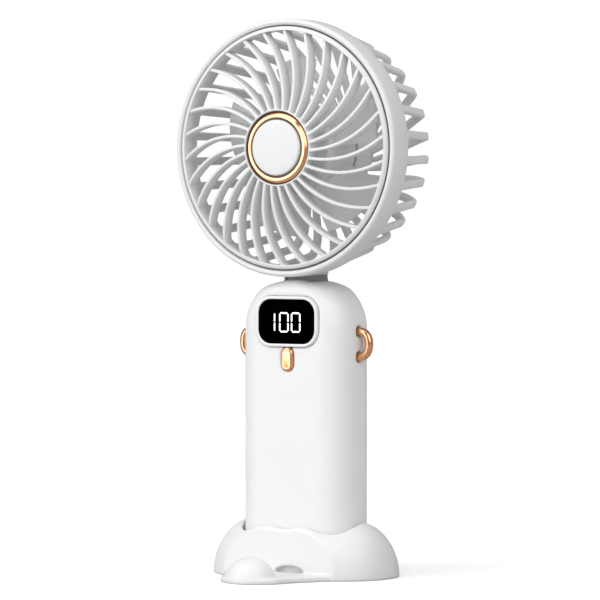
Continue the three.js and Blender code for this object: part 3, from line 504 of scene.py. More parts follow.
ROSE_GOLD = polished_metal("polished_rose_gold", (0.83, 0.43, 0.23), roughness=0.16)
BRIGHT_STEEL = polished_metal("bright_steel", (0.62, 0.63, 0.64), roughness=0.24)
BEARING_BRASS = polished_metal("turned_brass", (0.7, 0.5, 0.2), roughness=0.25)
BLACK_WINDOW = gloss_black("black_display_window")
LIT_WHITE = lit_segment("lit_display_segment")
SOLDER_MASK = circuit_green("green_solder_mask")
COPPER_WIRE = wound_wire("wound_copper_wire")

SLOT_MATERIALS = {
    "body_plastic": BODY_WHITE,
    "head_plastic": HEAD_WHITE,
    "rose_gold": ROSE_GOLD,
    "display_black": BLACK_WINDOW,
    "hinge_grey": HINGE_GREY_AND_SHADE,
    "screw_steel": BRIGHT_STEEL,
    "core_steel": CORE_STEEL,
    "magnet": DARK_MAGNET,
    "bearing_brass": BEARING_BRASS,
    "copper_wire": COPPER_WIRE,
    "circuit_board": SOLDER_MASK,
    "rubber": SOFT_RUBBER,
    "battery_wrap": FOIL_POUCH,
}


def dress_cad_nodes():
    """Gives every CAD node the material of its slot."""
    for row in frame["record"]["subparts"]:
        node = frame["nodes"][row["node"]]
        node.data.materials.clear()
        node.data.materials.append(SLOT_MATERIALS[row["material_slot"]])
        node.data.set_sharp_from_angle(angle=math.radians(CAD_CREASE))


# ---- stand

BASE_LIP = base_low[2]
PAD_TOP = 0.8
FACET_TOP, FACET_FOOT, FACET_HEIGHT = 17.8, 20.3, 18
SLOT_FLOOR = 2.25
TOE_BACK, TOE_RADIUS, TOE_HEIGHT, TOE_LENGTH = 37.2, 10.8, 9.5, 10
NOTCH_HALF_WIDTH, NOTCH_HEIGHT, NOTCH_END, NOTCH_ASIDE = 6.5, 2.7, 16.8, 4.6
OUTLINE_POWER = 2.2
CREST = 0.6
RIM_HEIGHT = 18.7
RIM_WAVES = ((2, 0.43), (4, 0.77), (6, 0.92))
BASE_HALF_WIDTH = base_high[0]
BASE_HALF_DEPTH = base_high[1]
SOCKET_GAP, SOCKET_LEDGE, SOCKET_CORNER, SOCKET_EDGE = 1, 7.7, 12, 0.9
CHAMBER_INSET, CHAMBER_FLOOR, CHAMBER_CORNER = 4, 3.2, 8
NOTCH_SILL, NOTCH_FRONT, OPENING_EDGE = 0.1, 30, 0.3
FOOT_INSET, FOOT_EDGE, FACET_EDGE = 2.2, 0.25, 0.25
TOE_EDGE, TOE_FILLET, SKIRT_EDGE, SKIRT_FILLET = 0.4, 0.4, 1.1, 0.5

# The apron's slanted side is the line where ACROSS * x - ALONG * y is REACH.
APRON_ACROSS, APRON_ALONG, APRON_REACH = 0.848, 0.53, 30.3
APRON_FRONT, APRON_BACK, APRON_CORNER = 42, 8, 3
TOE_APRON_REACH, TOE_APRON_FILLET = 1, 4


def outline_share(x, y):
    """How far out a spot is, as a share of the way to the base's outline."""
    power = OUTLINE_POWER
    across = np.abs(x / BASE_HALF_WIDTH) ** power
    return (across + np.abs(y / BASE_HALF_DEPTH) ** power) ** (1 / power)


def base_dome(x, y, z, step):
    """The wavy dome: high beside the handle, with dips by its corners."""
    angle = np.arctan2(y, x)
    rim = RIM_HEIGHT + sum(height * np.cos(count * angle) for count, height in RIM_WAVES)
    beyond = np.maximum(outline_share(x, y) - CREST, 0) / (1 - CREST)
    up = np.maximum((z - BASE_LIP) / (rim - BASE_LIP), 0)
    return even_field(np.sqrt(beyond ** 2 + up ** 2) - 1, step)


def skirt_plan(x, y):
    """The outline of the low apron that joins the toe to the body, from above."""
    toe_plan = ellipse(x, y + TOE_BACK, TOE_RADIUS + TOE_APRON_REACH, TOE_LENGTH)
    side = APRON_ACROSS * np.abs(x) - APRON_ALONG * y - APRON_REACH
    apron = rounded_both(side, -y - APRON_FRONT, APRON_CORNER)
    return rounded_either(toe_plan, np.maximum(apron, y + APRON_BACK), TOE_APRON_FILLET)


def toe_field(x, y, z, step):
    """The front half of a low round dome, which stops the foot of a standing device."""
    scaled = np.sqrt((x / TOE_RADIUS) ** 2 + ((y + TOE_BACK) / TOE_LENGTH) ** 2
                     + (np.maximum(z - BASE_LIP, 0) / (TOE_HEIGHT - BASE_LIP)) ** 2)
    return rounded_both(even_field((scaled - 1) * TOE_LENGTH, step), y + TOE_BACK, TOE_EDGE)


def base_field(x, y, z, step):
    """The stand's shell: dome, apron and toe, less the socket, the notch and the pad's recess."""
    slope = (FACET_FOOT - FACET_TOP) / FACET_HEIGHT
    facet = (-y - FACET_FOOT + slope * z) / math.hypot(1, slope)
    body = rounded_both(base_dome(x, y, z, step), facet, FACET_EDGE)
    plan = skirt_plan(x, y)
    skirt = rounded_both(plan, z - SLOT_FLOOR, SKIRT_EDGE)
    solid = rounded_either(body, skirt, SKIRT_FILLET)
    solid = rounded_either(solid, toe_field(x, y, z, step), TOE_FILLET)
    half_width, half_depth = HANDLE_HALF_WIDTH + SOCKET_GAP, HANDLE_HALF_DEPTH + SOCKET_GAP
    socket = rectangle(x, y, half_width, half_depth, SOCKET_CORNER)
    socket = np.maximum(socket, SOCKET_LEDGE - z)
    chamber = rectangle(x, y, half_width - CHAMBER_INSET, half_depth - CHAMBER_INSET,
                        CHAMBER_CORNER)
    chamber = np.maximum(chamber, CHAMBER_FLOOR - z)
    notch = ellipse(x - NOTCH_ASIDE, z - SLOT_FLOOR, NOTCH_HALF_WIDTH, NOTCH_HEIGHT)
    notch = np.maximum(notch, SLOT_FLOOR + NOTCH_SILL - z)
    notch = np.maximum(notch, slab(y, -NOTCH_FRONT, -NOTCH_END))
    foot = np.minimum((outline_share(x, y) - 1) * BASE_HALF_DEPTH, plan)
    recess = np.maximum(foot + FOOT_INSET, z - PAD_TOP)
    solid = carve(solid, socket, SOCKET_EDGE)
    solid = carve(solid, np.minimum(chamber, notch), OPENING_EDGE)
    return np.maximum(rounded_both(solid, BASE_LIP - z, FOOT_EDGE), -recess)


def make_stand():
    piece = net_object("stand_shell", base_field, base_low, base_high, margin=2, step=0.42,
                       rounds=2, material=BASE_WHITE, body="stand")
    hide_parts("base_shell")


# ---- handle

CORNER_RADIUS, LEAST_FLAT = 11, 0.3
SPRING_Z, ARCH_HEIGHT, ARCH_LIMIT = 92.6, 20.5, 0.93
CROWN_RADIUS, FOOT_RADIUS, SPLIT_EDGE = 4.6, 1, 0.3
HINGE_SIDE_GAP, HINGE_FRONT_GAP, HINGE_FLOOR_GAP = 0.4, 0.3, 0.6
HINGE_SLOT_CORNER, HINGE_SLOT_HALF_HEIGHT = 1.2, 50
POCKET_DEPTH, POCKET_GAP, POCKET_CORNER, POCKET_EDGE = 3.2, 0.1, 6.5, 0.2
BUTTON_POCKET_DEPTH = 4.2
BUTTON_HALF_WIDTH, BUTTON_HALF_HEIGHT, BUTTON_REAR_GAP = 2.45, 4.45, 0.2
BUTTON_HOLE = (2.62, 4.62, 2.6)
PORT_HOLE = (4.9, 2.0, 1.9)
SCREW_RECESS_RADIUS, SCREW_RECESS_FLOOR, REAR_HOLE_EDGE = 2.3, 11, 0.35
LOOP_HOLE_GAP, LOOP_HOLE_DEPTH = 0.55, 2.5
LOOP_SINK, LOOP_POWER = 0.2, 0.85
BEZEL_CORNER, WINDOW_CORNER, WINDOW_SINK, WINDOW_EDGE = 6.4, 5.2, 0.12, 0.35
DIGIT_ROOT, DIGIT_PROUD = 0.1, 0.03
LOOP_Z = middle("lanyard_loop_right")[2]
LOOP_WIRE = 1.55
LOOP_FOOT = (node_box("lanyard_loop_right")[1][2] - LOOP_Z) - LOOP_WIRE


def handle_body(x, y, z, step):
    """The whole handle: a rounded bar with an arched crown."""
    rise = np.clip((z - SPRING_Z) / ARCH_HEIGHT, 0, ARCH_LIMIT)
    half_width = HANDLE_HALF_WIDTH * np.sqrt(1 - rise ** 2)
    corner = np.minimum(CORNER_RADIUS, half_width - LEAST_FLAT)
    section = even_field(rectangle(x, y, half_width, HANDLE_HALF_DEPTH, corner), step)
    body = rounded_both(section, z - HANDLE_TOP, CROWN_RADIUS)
    return rounded_both(body, HANDLE_BOTTOM - z, FOOT_RADIUS)


def hinge_slot(x, y, z):
    """The gap that the knuckle sits and folds in, open at the top and the rear."""
    half = (knuckle_high[0] - knuckle_low[0]) / 2 + HINGE_SIDE_GAP
    front = knuckle_low[1] - HINGE_FRONT_GAP
    floor = knuckle_low[2] - HINGE_FLOOR_GAP
    half_height = HINGE_SLOT_HALF_HEIGHT
    opening = rectangle(x, z - floor - half_height, half, half_height, HINGE_SLOT_CORNER)
    return np.maximum(opening, front - y)


def handle_holes(x, y, z):
    """The pockets of the display and the button, and the holes for the loops' feet."""
    display = middle("display_bezel")
    bezel_half = (bezel_high - bezel_low) / 2
    pocket = rectangle(x, z - display[2], bezel_half[0] + POCKET_GAP, bezel_half[2] + POCKET_GAP,
                       POCKET_CORNER)
    pocket = np.maximum(pocket, y + HANDLE_HALF_DEPTH - POCKET_DEPTH)
    button = middle("power_button")
    hole = rectangle(x, z - button[2], *BUTTON_HOLE)
    hole = np.maximum(hole, y + HANDLE_HALF_DEPTH - BUTTON_POCKET_DEPTH)
    foot = np.minimum(np.hypot(y, z - LOOP_Z - LOOP_FOOT), np.hypot(y, z - LOOP_Z + LOOP_FOOT))
    feet = np.maximum(foot - LOOP_WIRE - LOOP_HOLE_GAP,
                      HANDLE_HALF_WIDTH - LOOP_HOLE_DEPTH - np.abs(x))
    return np.minimum(np.minimum(pocket, hole), feet)


def front_shell_field(x, y, z, step):
    body = rounded_both(handle_body(x, y, z, step), y - shell_high[1], SPLIT_EDGE)
    body = carve(body, hinge_slot(x, y, z), SPLIT_EDGE)
    return carve(body, handle_holes(x, y, z), POCKET_EDGE)


def rear_cover_field(x, y, z, step):
    body = rounded_both(handle_body(x, y, z, step), cover_low[1] - y, SPLIT_EDGE)
    body = carve(body, hinge_slot(x, y, z), SPLIT_EDGE)
    port = rectangle(x, z - port_centre[2], *PORT_HOLE)
    screw_z = middle("handle_screw_1")[2]
    screw_x = middle("handle_screw_2")[0]
    recess = np.hypot(np.abs(x) - screw_x, z - screw_z) - SCREW_RECESS_RADIUS
    recess = np.maximum(recess, SCREW_RECESS_FLOOR - y)
    return carve(body, np.minimum(port, recess), REAR_HOLE_EDGE)


def make_handle():
    front = net_object("handle_shell_front", front_shell_field, shell_low, shell_high,
                       margin=1.5, step=0.5, rounds=2, material=BODY_WHITE, body="handle")
    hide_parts("handle_front_shell")
    rear = net_object("handle_shell_rear", rear_cover_field, cover_low, cover_high,
                      margin=1.5, step=0.4, rounds=2, material=BODY_WHITE, body="handle")
    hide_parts("handle_rear_cover")


def make_display():
    centre = (0, middle("display_window")[2])
    half = (bezel_high - bezel_low) / 2
    rim = half[0] - (window_high[0] - window_low[0]) / 2
    front, rear = bezel_low[1], bezel_high[1]
    section = [(0, rear), (0, front + 0.45), (0.13, front + 0.14), (0.45, front),
               (rim - 0.35, front), (rim - 0.1, front + 0.15), (rim - 0.1, rear)]
    spots, faces = stacked(half[0], half[2], BEZEL_CORNER, section, centre, closed=True)
    bezel = object_from("display_bezel_ring", spots, faces, BODY_WHITE, "handle")
    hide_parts("display_bezel")

    half = (window_high - window_low) / 2
    front = window_low[1] + WINDOW_SINK
    steps = rounded_front(front, window_high[1], WINDOW_EDGE)
    spots, faces = stacked(half[0], half[2], WINDOW_CORNER, steps, centre)
    window = object_from("display_glass", spots, faces, BLACK_WINDOW, "handle")
    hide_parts("display_window")
    make_digits(centre, front)


def segment_plate(start, end, width, front):
    """One bar of a digit: a thin plate with pointed ends, from start to end in x and z."""
    start, end = Vector(start), Vector(end)
    along = (end - start).normalized()
    side = Vector((-along.y, along.x)) * width / 2
    point = along * width / 2
    outline = [start, start + point + side, end - point + side, end,
               end - point - side, start + point - side]
    rings = [[(p.x, y, p.y) for p in outline]
             for y in (front + DIGIT_ROOT, front - DIGIT_PROUD)]
    return rings_body(rings)


def make_digits(centre, front):
    """The reading 100 in seven-segment digits."""
    height, width, stroke, gap = 7.5, 3.6, 0.6, 0.14
    one_right, first_zero, second_zero = -5.1, -1.0, 4.2
    bars = {
        "top": ((0, 1), (1, 1)), "low": ((0, 0), (1, 0)),
        "left_up": ((0, 0.5), (0, 1)), "left_down": ((0, 0), (0, 0.5)),
        "right_up": ((1, 0.5), (1, 1)), "right_down": ((1, 0), (1, 0.5)),
    }
    one = ["right_up", "right_down"]
    digits = Builder()
    left_edges = [one_right - width, first_zero - width / 2, second_zero - width / 2]
    lift = -0.3
    tall = height - stroke
    for left, names in zip(left_edges, [one, list(bars), list(bars)]):
        for name in names:
            ends = [Vector((left + u * width, centre[1] + lift + (v - 0.5) * tall))
                    for u, v in bars[name]]
            along = (ends[1] - ends[0]).normalized() * gap
            digits.add(*segment_plate(ends[0] + along, ends[1] - along, stroke, front))
    object_from("display_digits", digits.spots, digits.faces, LIT_WHITE, "handle")


def make_button():
    centre = (0, middle("power_button")[2])
    front, rear = button_low[1], button_high[1] - BUTTON_REAR_GAP
    steps = [(0, rear), (0, front + 0.75), (0.12, front + 0.45), (0.32, front + 0.25),
             (0.62, front + 0.1), (0.8, front + 0.07), (0.95, front + 0.12), (1.2, front + 0.1)]
    spots, faces = stacked(BUTTON_HALF_WIDTH, BUTTON_HALF_HEIGHT, BUTTON_HALF_WIDTH - 0.01,
                           steps, centre)
    button = object_from("power_button_cap", spots, faces, ROSE_GOLD, "power_button",
                         BUTTON_CREASE)
    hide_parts("power_button")


def loop_path(side):
    """A bend like half an ellipse in the x-z plane, from one foot to the other."""
    low, high = node_box("lanyard_loop_right")
    outer = high[0] - LOOP_WIRE
    inner = low[0]
    spring = HANDLE_HALF_WIDTH - LOOP_SINK
    points = [(inner, -LOOP_FOOT)]
    steps = 36
    for i in range(steps + 1):
        angle = -math.pi / 2 + math.pi * i / steps
        out = abs(math.cos(angle)) ** LOOP_POWER
        up = math.copysign(abs(math.sin(angle)) ** LOOP_POWER, math.sin(angle))
        points.append((spring + (outer - spring) * out, LOOP_FOOT * up))
    points.append((inner, LOOP_FOOT))
    return [np.array([side * x, 0, LOOP_Z + z]) for x, z in points]


def make_loop(side, label):
    points = loop_path(side)
    sides = 20
    rings = []
    for i, point in enumerate(points):
        ahead = points[min(i + 1, len(points) - 1)] - points[max(i - 1, 0)]
        tangent = ahead / np.linalg.norm(ahead)
        across = np.array([0, 1, 0])
        up = np.cross(tangent, across)
        rings.append([point + LOOP_WIRE * (across * math.cos(TURN * j / sides)
                                           + up * math.sin(TURN * j / sides))
                      for j in range(sides)])
    spots, faces = rings_body(rings)
    loop = object_from(f"lanyard_ring_{label}", spots, faces, ROSE_GOLD, "handle")
    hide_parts(f"lanyard_loop_{label}")


def make_port():
    """The charging socket: a thin drawn shell with a tongue inside."""
    centre = (port_centre[0], port_centre[2])
    low, high = node_box("usb_c_socket")
    rear, mouth = low[1], high[1]
    wall, shell_outline, tongue_outline = 0.35, (4.5, 1.6, 1.58), (3.3, 0.35, 0.1)
    shell = [(0, rear), (0, mouth - 0.1), (0.1, mouth), (wall - 0.1, mouth), (wall, mouth - 0.1),
             (wall, rear)]
    tongue = [(0, rear), (0, mouth - 1.2), (0.1, mouth - 1)]
    port = Builder()
    port.add(*stacked(*shell_outline, shell, centre, closed=True))
    port.add(*stacked(*tongue_outline, tongue, centre))
    piece = object_from("charging_port", port.spots, turned_outward(port.faces), BRIGHT_STEEL,
                        "handle")
    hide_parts("usb_c_socket")


# ---- head

SPOKES = 30
RIBS = 30
SWIRL = math.radians(22)
WALL_REAR = 5.6
WALL_INNER = 45
RING_OUTER, RING_INNER, RING_BACK, RING_FRONT = 45.1, 43.6, 11.3, 16.9
HUB_RADIUS, HUB_LIP = 14.3, 0.55
HUB_BACK, HUB_FLOOR, HUB_FRONT = 15.5, 18.8, 20.7
SPOKE_HALF_THICKNESS, SPOKE_FLARE, SPOKE_SINK = 0.55, 0.2, 0.1
SPOKE_RIM_DROP, SPOKE_RIM_REACH = 0.9, 0.06
FLARE_REACH = 0.04
CAGE_BACK = -housing_high[1]
REAR_HUB, REAR_HUB_WALL, TUBE_CLEAR = 16, 1.2, 3.5
BULL_RADIUS, BULL_STRETCH = 1.22, 1.25
BOSS_HALF_WIDTH, BOSS_REAR = 6, -6.5

# A cage rib's centre line, as (radius, height): a leg, a round corner, then the back.
LEG_END = 41.8
LEG_SHARE, CORNER_SHARE = 0.36, 0.6
RIB_BACK = CAGE_BACK + 1.15
RIB_START, RIB_LEG_FOOT = Vector((46.4, WALL_REAR + 0.8)), Vector((LEG_END, -17.2))
RIB_CORNER, RIB_BACK_START = Vector((41, -20.9)), Vector((33, RIB_BACK))
RIB_END = Vector((REAR_HUB - REAR_HUB_WALL, RIB_BACK))
RIB_HALF_THICKNESS, RIB_TAPER, RIB_FLARE, RIB_HALF_DEPTH = 1.55, 0.65, 0.25, 1.12


def head_object(name, builder, *replaced, material=HEAD_WHITE, slot="head_plastic",
                body="head"):
    """A mesh object from pieces drawn in the head's own frame."""
    builder.to_row_frame()
    piece = object_from(name, builder.spots, builder.faces, material, body)
    if replaced:
        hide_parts(*replaced)


def polar(radius, angle, height):
    return np.array([radius * math.cos(angle), radius * math.sin(angle), height])


def swirl_point(share, rim_radius, hub_radius, rim_angle):
    """Along the bent line that every spoke follows in plan, from rim to hub."""
    bend = 0.23
    rim = polar(rim_radius, rim_angle, 0)
    hub = polar(hub_radius, rim_angle - SWIRL, 0)
    chord = hub - rim
    control = (rim + hub) / 2 + bend * np.array([-chord[1], chord[0], 0])
    return rim * (1 - share) ** 2 + control * (2 * share * (1 - share)) + hub * share ** 2


def spoke_front(radius):
    """How far forward a spoke's face is: it falls away from the hub to the ring."""
    fall = (HUB_FRONT - RING_FRONT) / (RING_INNER ** 2 - HUB_RADIUS ** 2)
    return HUB_FRONT - fall * (radius ** 2 - HUB_RADIUS ** 2) - SPOKE_SINK


def spoke_depth(s):
    """Spokes are shallower at the rim than at the hub."""
    rim_depth, gain = 4.8, 0.6
    return rim_depth + gain * s


def end_flare(s, base, extra):
    """A half thickness that swells into its neighbour at both ends, as a moulded fillet does."""
    near = min(s, 1 - s)
    return base + extra * max(0, 1 - near / FLARE_REACH) ** 2


def make_grille():
    grille = Builder()
    rim = softened([(RING_INNER, RING_BACK), (RING_OUTER, RING_BACK), (RING_OUTER, 16),
                    (RING_OUTER - 0.4, 16.6), (RING_INNER + 0.3, RING_FRONT),
                    (RING_INNER, RING_FRONT - 0.05)], 0.14)
    grille.add(*turned(rim, 180))
    lip = HUB_RADIUS - HUB_LIP
    hub = softened([(0, HUB_BACK), (HUB_RADIUS, HUB_BACK), (HUB_RADIUS, HUB_FRONT),
                    (lip, HUB_FRONT), (lip, HUB_FLOOR), (0, HUB_FLOOR)], 0.25)
    grille.add(*turned(hub, 120))
    for i in range(SPOKES):
        rim_angle = math.pi / 2 + TURN * i / SPOKES

        def path(s):
            point = swirl_point(s, RING_INNER + 0.5, HUB_RADIUS - 0.4, rim_angle)
            front = spoke_front(math.hypot(point[0], point[1]))
            front -= SPOKE_RIM_DROP * max(0, 1 - s / SPOKE_RIM_REACH)
            point[2] = front - spoke_depth(s) / 2
            return point

        grille.add(*swept_bar(path, broad=lambda s: (0, 0, 1),
                              half_thickness=lambda s: end_flare(s, SPOKE_HALF_THICKNESS,
                                                                 SPOKE_FLARE),
                              half_width=lambda s: spoke_depth(s) / 2,
                              stations=22, corner_share=0.22))
    head_object("grille_front", grille, "front_grille")


def rib_profile(s):
    """A spot on a cage rib's centre line, from the head's wall to the rear hub."""
    if s <= LEG_SHARE:
        return RIB_START.lerp(RIB_LEG_FOOT, s / LEG_SHARE)
    if s <= CORNER_SHARE:
        t = (s - LEG_SHARE) / (CORNER_SHARE - LEG_SHARE)
        return (RIB_LEG_FOOT * (1 - t) ** 2 + RIB_CORNER * (2 * t * (1 - t))
                + RIB_BACK_START * t ** 2)
    share = (s - CORNER_SHARE) / (1 - CORNER_SHARE)
    return RIB_BACK_START.lerp(RIB_END, share)


def rib_angle(radius, rim_angle):
    """Ribs run straight down the cage's side and swirl across its back."""
    share = max(0, LEG_END - radius) / (LEG_END - REAR_HUB)
    return rim_angle - SWIRL * share ** 2


def rib_half_thickness(s):
    share = max(0, s - CORNER_SHARE) / (1 - CORNER_SHARE)
    return end_flare(s, RIB_HALF_THICKNESS - RIB_TAPER * share, RIB_FLARE)


def rib_body(rim_angle):
    nudge = 0.02

    def path(s):
        point = rib_profile(s)
        return polar(point.x, rib_angle(point.x, rim_angle), point.y)

    def broad(s):
        ahead = rib_profile(min(1, s + nudge)) - rib_profile(max(0, s - nudge))
        ahead.normalize()
        outward = polar(1, rib_angle(rib_profile(s).x, rim_angle), 0)
        wide = outward * -ahead.y + np.array([0, 0, ahead.x])
        return wide / np.linalg.norm(wide)

    return swept_bar(path, broad, rib_half_thickness, half_width=lambda s: RIB_HALF_DEPTH,
                     stations=38, corner_share=0.3)


def make_housing():
    housing = Builder()
    wall = [(WALL_INNER, WALL_REAR + 0.4), (WALL_INNER + 0.4, WALL_REAR),
            (HEAD_RADIUS - 0.6, WALL_REAR), (HEAD_RADIUS - 0.15, WALL_REAR + 0.2),
            (HEAD_RADIUS, WALL_REAR + 0.7)]
    crest = HEAD_RADIUS - BULL_RADIUS
    front = -housing_low[1]
    bull_steps = 8
    for i in range(bull_steps + 1):
        angle = i / bull_steps * math.pi
        wall.append((crest + BULL_RADIUS * math.cos(angle),
                     front - BULL_RADIUS * BULL_STRETCH * (1 - math.sin(angle))))
    wall += [(crest - BULL_RADIUS, 11.2), (crest - BULL_RADIUS - 0.2, 11), (WALL_INNER + 0.2, 11),
             (WALL_INNER, 10.8)]
    housing.add(*turned(wall, 192))
    rim = REAR_HUB - REAR_HUB_WALL
    dish = softened([(TUBE_CLEAR, -20.5), (13.5, -20.5), (13.5, CAGE_BACK), (REAR_HUB, CAGE_BACK),
                     (REAR_HUB, -11.5), (rim, -11.5), (rim, -17.5), (TUBE_CLEAR, -17.5)], 0.4)
    housing.add(*turned(dish, 96))
    for i in range(RIBS):
        housing.add(*rib_body(math.radians(6) + TURN * i / RIBS))
    housing.add(*neck_boss())
    head_object("housing_moulding", housing, "rear_housing")


def neck_boss():
    """The filled-in part of the cage that the neck is screwed to."""
    half = math.asin(BOSS_HALF_WIDTH / HEAD_RADIUS)
    outer, front = HEAD_RADIUS - 0.25, WALL_REAR + 0.5
    outline = [(WALL_INNER, BOSS_REAR), (outer, BOSS_REAR), (outer, front), (WALL_INNER, front)]
    rings = []
    steps = 14
    for i in range(steps + 1):
        angle = -math.pi / 2 - half + 2 * half * i / steps
        rings.append([polar(radius, angle, height) for radius, height in outline])
    return rings_body(rings)


def make_seam_shade_rings():
    """Thin dark rings at the foot of the gaps round the grille and the hub's trim ring, put there
    as painted shade for the shadow in those gaps.
    """
    shade_rings = Builder()
    for outer, inner, back, front in ((45.5, 45.14, 11.3, 15.3), (13.72, 13.38, 18.9, 20.2),
                                      (11.0, 10.46, 19.2, 20.5)):
        shade_rings.add(*turned([(inner, back), (outer, back), (outer, front), (inner, front)], 128))
    head_object("seam_shade_rings", shade_rings, material=SOFT_RUBBER, slot="rubber")


def make_hub_pieces():
    """The trim ring and cap on the front hub, and the cover behind the rear hub."""
    trim = Builder()
    outer, inner = (trim_high[0] - trim_low[0]) / 2 - 0.15, 11.05
    front, back = -trim_low[1], -trim_high[1]
    profile = softened([(inner, back), (outer, back), (outer, front - 1),
                        (outer - 0.25, front - 0.7), (inner + 1.25, front), (inner + 0.25, front),
                        (inner, front - 0.3)], 0.12)
    trim.add(*turned(profile, 128))
    head_object("hub_trim", trim, "hub_trim_ring", material=ROSE_GOLD, slot="rose_gold")

    cap = Builder()
    radius = (cap_high[0] - cap_low[0]) / 2 - 0.1
    front, back = -cap_low[1], -cap_high[1]
    edge, edge_fall, steps = 0.7, 0.9, 6
    profile = [(0, back), (radius, back), (radius, front - edge_fall)]
    for i in range(1, steps + 1):
        angle = i / steps * math.pi / 2
        profile.append((radius - edge * (1 - math.cos(angle)),
                        front - edge_fall + edge * math.sin(angle)))
    profile += [(radius * 0.7, front - 0.1), (radius * 0.35, front - 0.02), (0, front)]
    cap.add(*turned(profile, 96))
    head_object("hub_cap_disc", cap, "hub_cap")

    cover = Builder()
    radius = (hub_cover_high[0] - hub_cover_low[0]) / 2
    back, inner_face = -hub_cover_high[1], -hub_cover_low[1]
    profile = softened([(0, inner_face), (radius, inner_face), (radius, back), (0, back)][::-1],
                       0.7, 6)
    cover.add(*turned(profile, 96))
    head_object("hub_cover_rear", cover, "rear_hub_cover")


# ---- neck

NECK_HALF_DEPTH, NECK_START, NECK_FILLET, KNUCKLE_EDGE = 6.5, 3, 2.5, 0.6
GROOVE_ASIDE, GROOVE_HALF_WIDTH, GROOVE_DEPTH, GROOVE_START = 1.7, 0.22, 0.8, 5
GROOVE_EDGE = 0.15
SEAT_OVERLAP = 0.4
PIN_BORE_RADIUS = 1.8


def knuckle_field(x, y, z, step):
    """A barrel round the pin and a neck up to the head's wall, with a moulding line in front."""
    axis_y, axis_z = pin_centre[1], pin_centre[2]
    barrel_radius = axis_z - knuckle_low[2]
    half = (knuckle_high[0] - knuckle_low[0]) / 2
    from_axis = np.hypot(y - axis_y, z - axis_z)
    neck = np.maximum(np.abs(y) - NECK_HALF_DEPTH, axis_z + NECK_START - z)
    profile = rounded_either(from_axis - barrel_radius, neck, NECK_FILLET)
    body = rounded_both(profile, np.abs(x) - half, KNUCKLE_EDGE)
    groove = np.maximum(np.abs(x + half - GROOVE_ASIDE) - GROOVE_HALF_WIDTH,
                        y - knuckle_low[1] - GROOVE_DEPTH)
    groove = np.maximum(groove, axis_z + GROOVE_START - z)
    head_seat = HEAD_RADIUS - SEAT_OVERLAP - np.hypot(x, z - HEAD_Z)
    body = np.maximum(body, head_seat)
    bore = from_axis - PIN_BORE_RADIUS
    return np.maximum(carve(body, groove, GROOVE_EDGE), -bore)


def make_knuckle():
    piece = net_object("neck_knuckle", knuckle_field, knuckle_low, knuckle_high, margin=1,
                       step=0.22, rounds=1, material=HINGE_GREY_AND_SHADE, body="head")
    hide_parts("hinge_knuckle")


# ---- impeller

BLADES = 5
BLADE_ANGLE = math.radians(47)
FIRST_BLADE = math.radians(3)
TIP_RADIUS = 34
BLADE_HUB = 16
BLADE_ROOT, TIP_ROUNDING = 0.6, 0.07
BLADE_FRONT, BLADE_FALL, BLADE_CAMBER, BLADE_SET_BACK = 5.5, 11.6, 0.9, 0.4
ROOT_THICKNESS, TIP_THINNING, EDGE_SHARE = 1.5, 0.6, 0.04
WHEEL_INNER, WHEEL_FACE, WHEEL_FRONT, WHEEL_BACK = 13.9, 6.2, 8.0, -10.0


def blade_spot(across, along, side):
    """A spot on a blade: along its chord, out from the hub, on its front or rear skin."""
    radius = BLADE_HUB - BLADE_ROOT + (TIP_RADIUS - BLADE_HUB + BLADE_ROOT) * across
    rounding = 1 - TIP_ROUNDING * (2 * along - 1) ** 4 * across ** 2
    angle = FIRST_BLADE + BLADE_ANGLE * (0.5 + (along - 0.5) * rounding)
    camber = BLADE_CAMBER * math.sin(math.pi * along)
    height = BLADE_FRONT - BLADE_FALL * along + camber - BLADE_SET_BACK
    fullness = math.sqrt(max(0, 1 - (2 * along - 1) ** 4) + EDGE_SHARE)
    thickness = (ROOT_THICKNESS - TIP_THINNING * across) * fullness
    return polar(radius, angle, height + side * thickness / 2)


def blade_body(turn):
    chord_steps, span_steps = 18, 10
    rings = []
    cosine, sine = math.cos(turn), math.sin(turn)
    for i in range(span_steps + 1):
        across = i / span_steps
        front = [blade_spot(across, j / chord_steps, 1) for j in range(chord_steps + 1)]
        rear = [blade_spot(across, j / chord_steps, -1) for j in range(chord_steps + 1)]
        ring = front + rear[::-1]
        rings.append([(x * cosine - y * sine, x * sine + y * cosine, z) for x, y, z in ring])
    return rings_body(rings)


def make_impeller():
    wheel = Builder()
    profile = softened([(0, WHEEL_FACE), (WHEEL_INNER, WHEEL_FACE), (WHEEL_INNER, WHEEL_BACK),
                        (BLADE_HUB, WHEEL_BACK), (BLADE_HUB, WHEEL_FRONT - 1.2),
                        (BLADE_HUB - 1.4, WHEEL_FRONT), (0, WHEEL_FRONT)], 0.6)
    wheel.add(*turned(profile, 96))
    for i in range(BLADES):
        wheel.add(*blade_body(TURN * i / BLADES))
    head_object("impeller_wheel", wheel, "impeller", body="impeller")


# ---- stage, light and camera

def make_stage():
    """A pale floor that looks white to the camera but throws less light back up."""
    half = 60
    corners = [(-half, -half, 0), (half, -half, 0), (half, half, 0), (-half, half, 0)]
    mesh = bpy.data.meshes.new("pale_floor")
    mesh.from_pydata(corners, [], [(0, 1, 2, 3)])
    material, nodes, links, shader = material_nodes("pale_floor_paint")
    shader.inputs["Roughness"].default_value = 0.8
    shader.inputs["Specular IOR Level"].default_value = 0.05
    shader.inputs["Emission Color"].default_value = (1, 1, 1, 1)
    path = nodes.new("ShaderNodeLightPath")
    for socket, thrown, seen in (("Base Color", 0.5, 0.8), ("Emission Strength", 0, 0.38)):
        level = nodes.new("ShaderNodeMapRange")
        level.inputs["To Min"].default_value = thrown
        level.inputs["To Max"].default_value = seen
        links.new(path.outputs["Is Camera Ray"], level.inputs["Value"])
        links.new(level.outputs["Result"], shader.inputs[socket])
    mesh.materials.append(material)
    floor = bpy.data.objects.new("pale_floor", mesh)
    bpy.context.scene.collection.objects.link(floor)


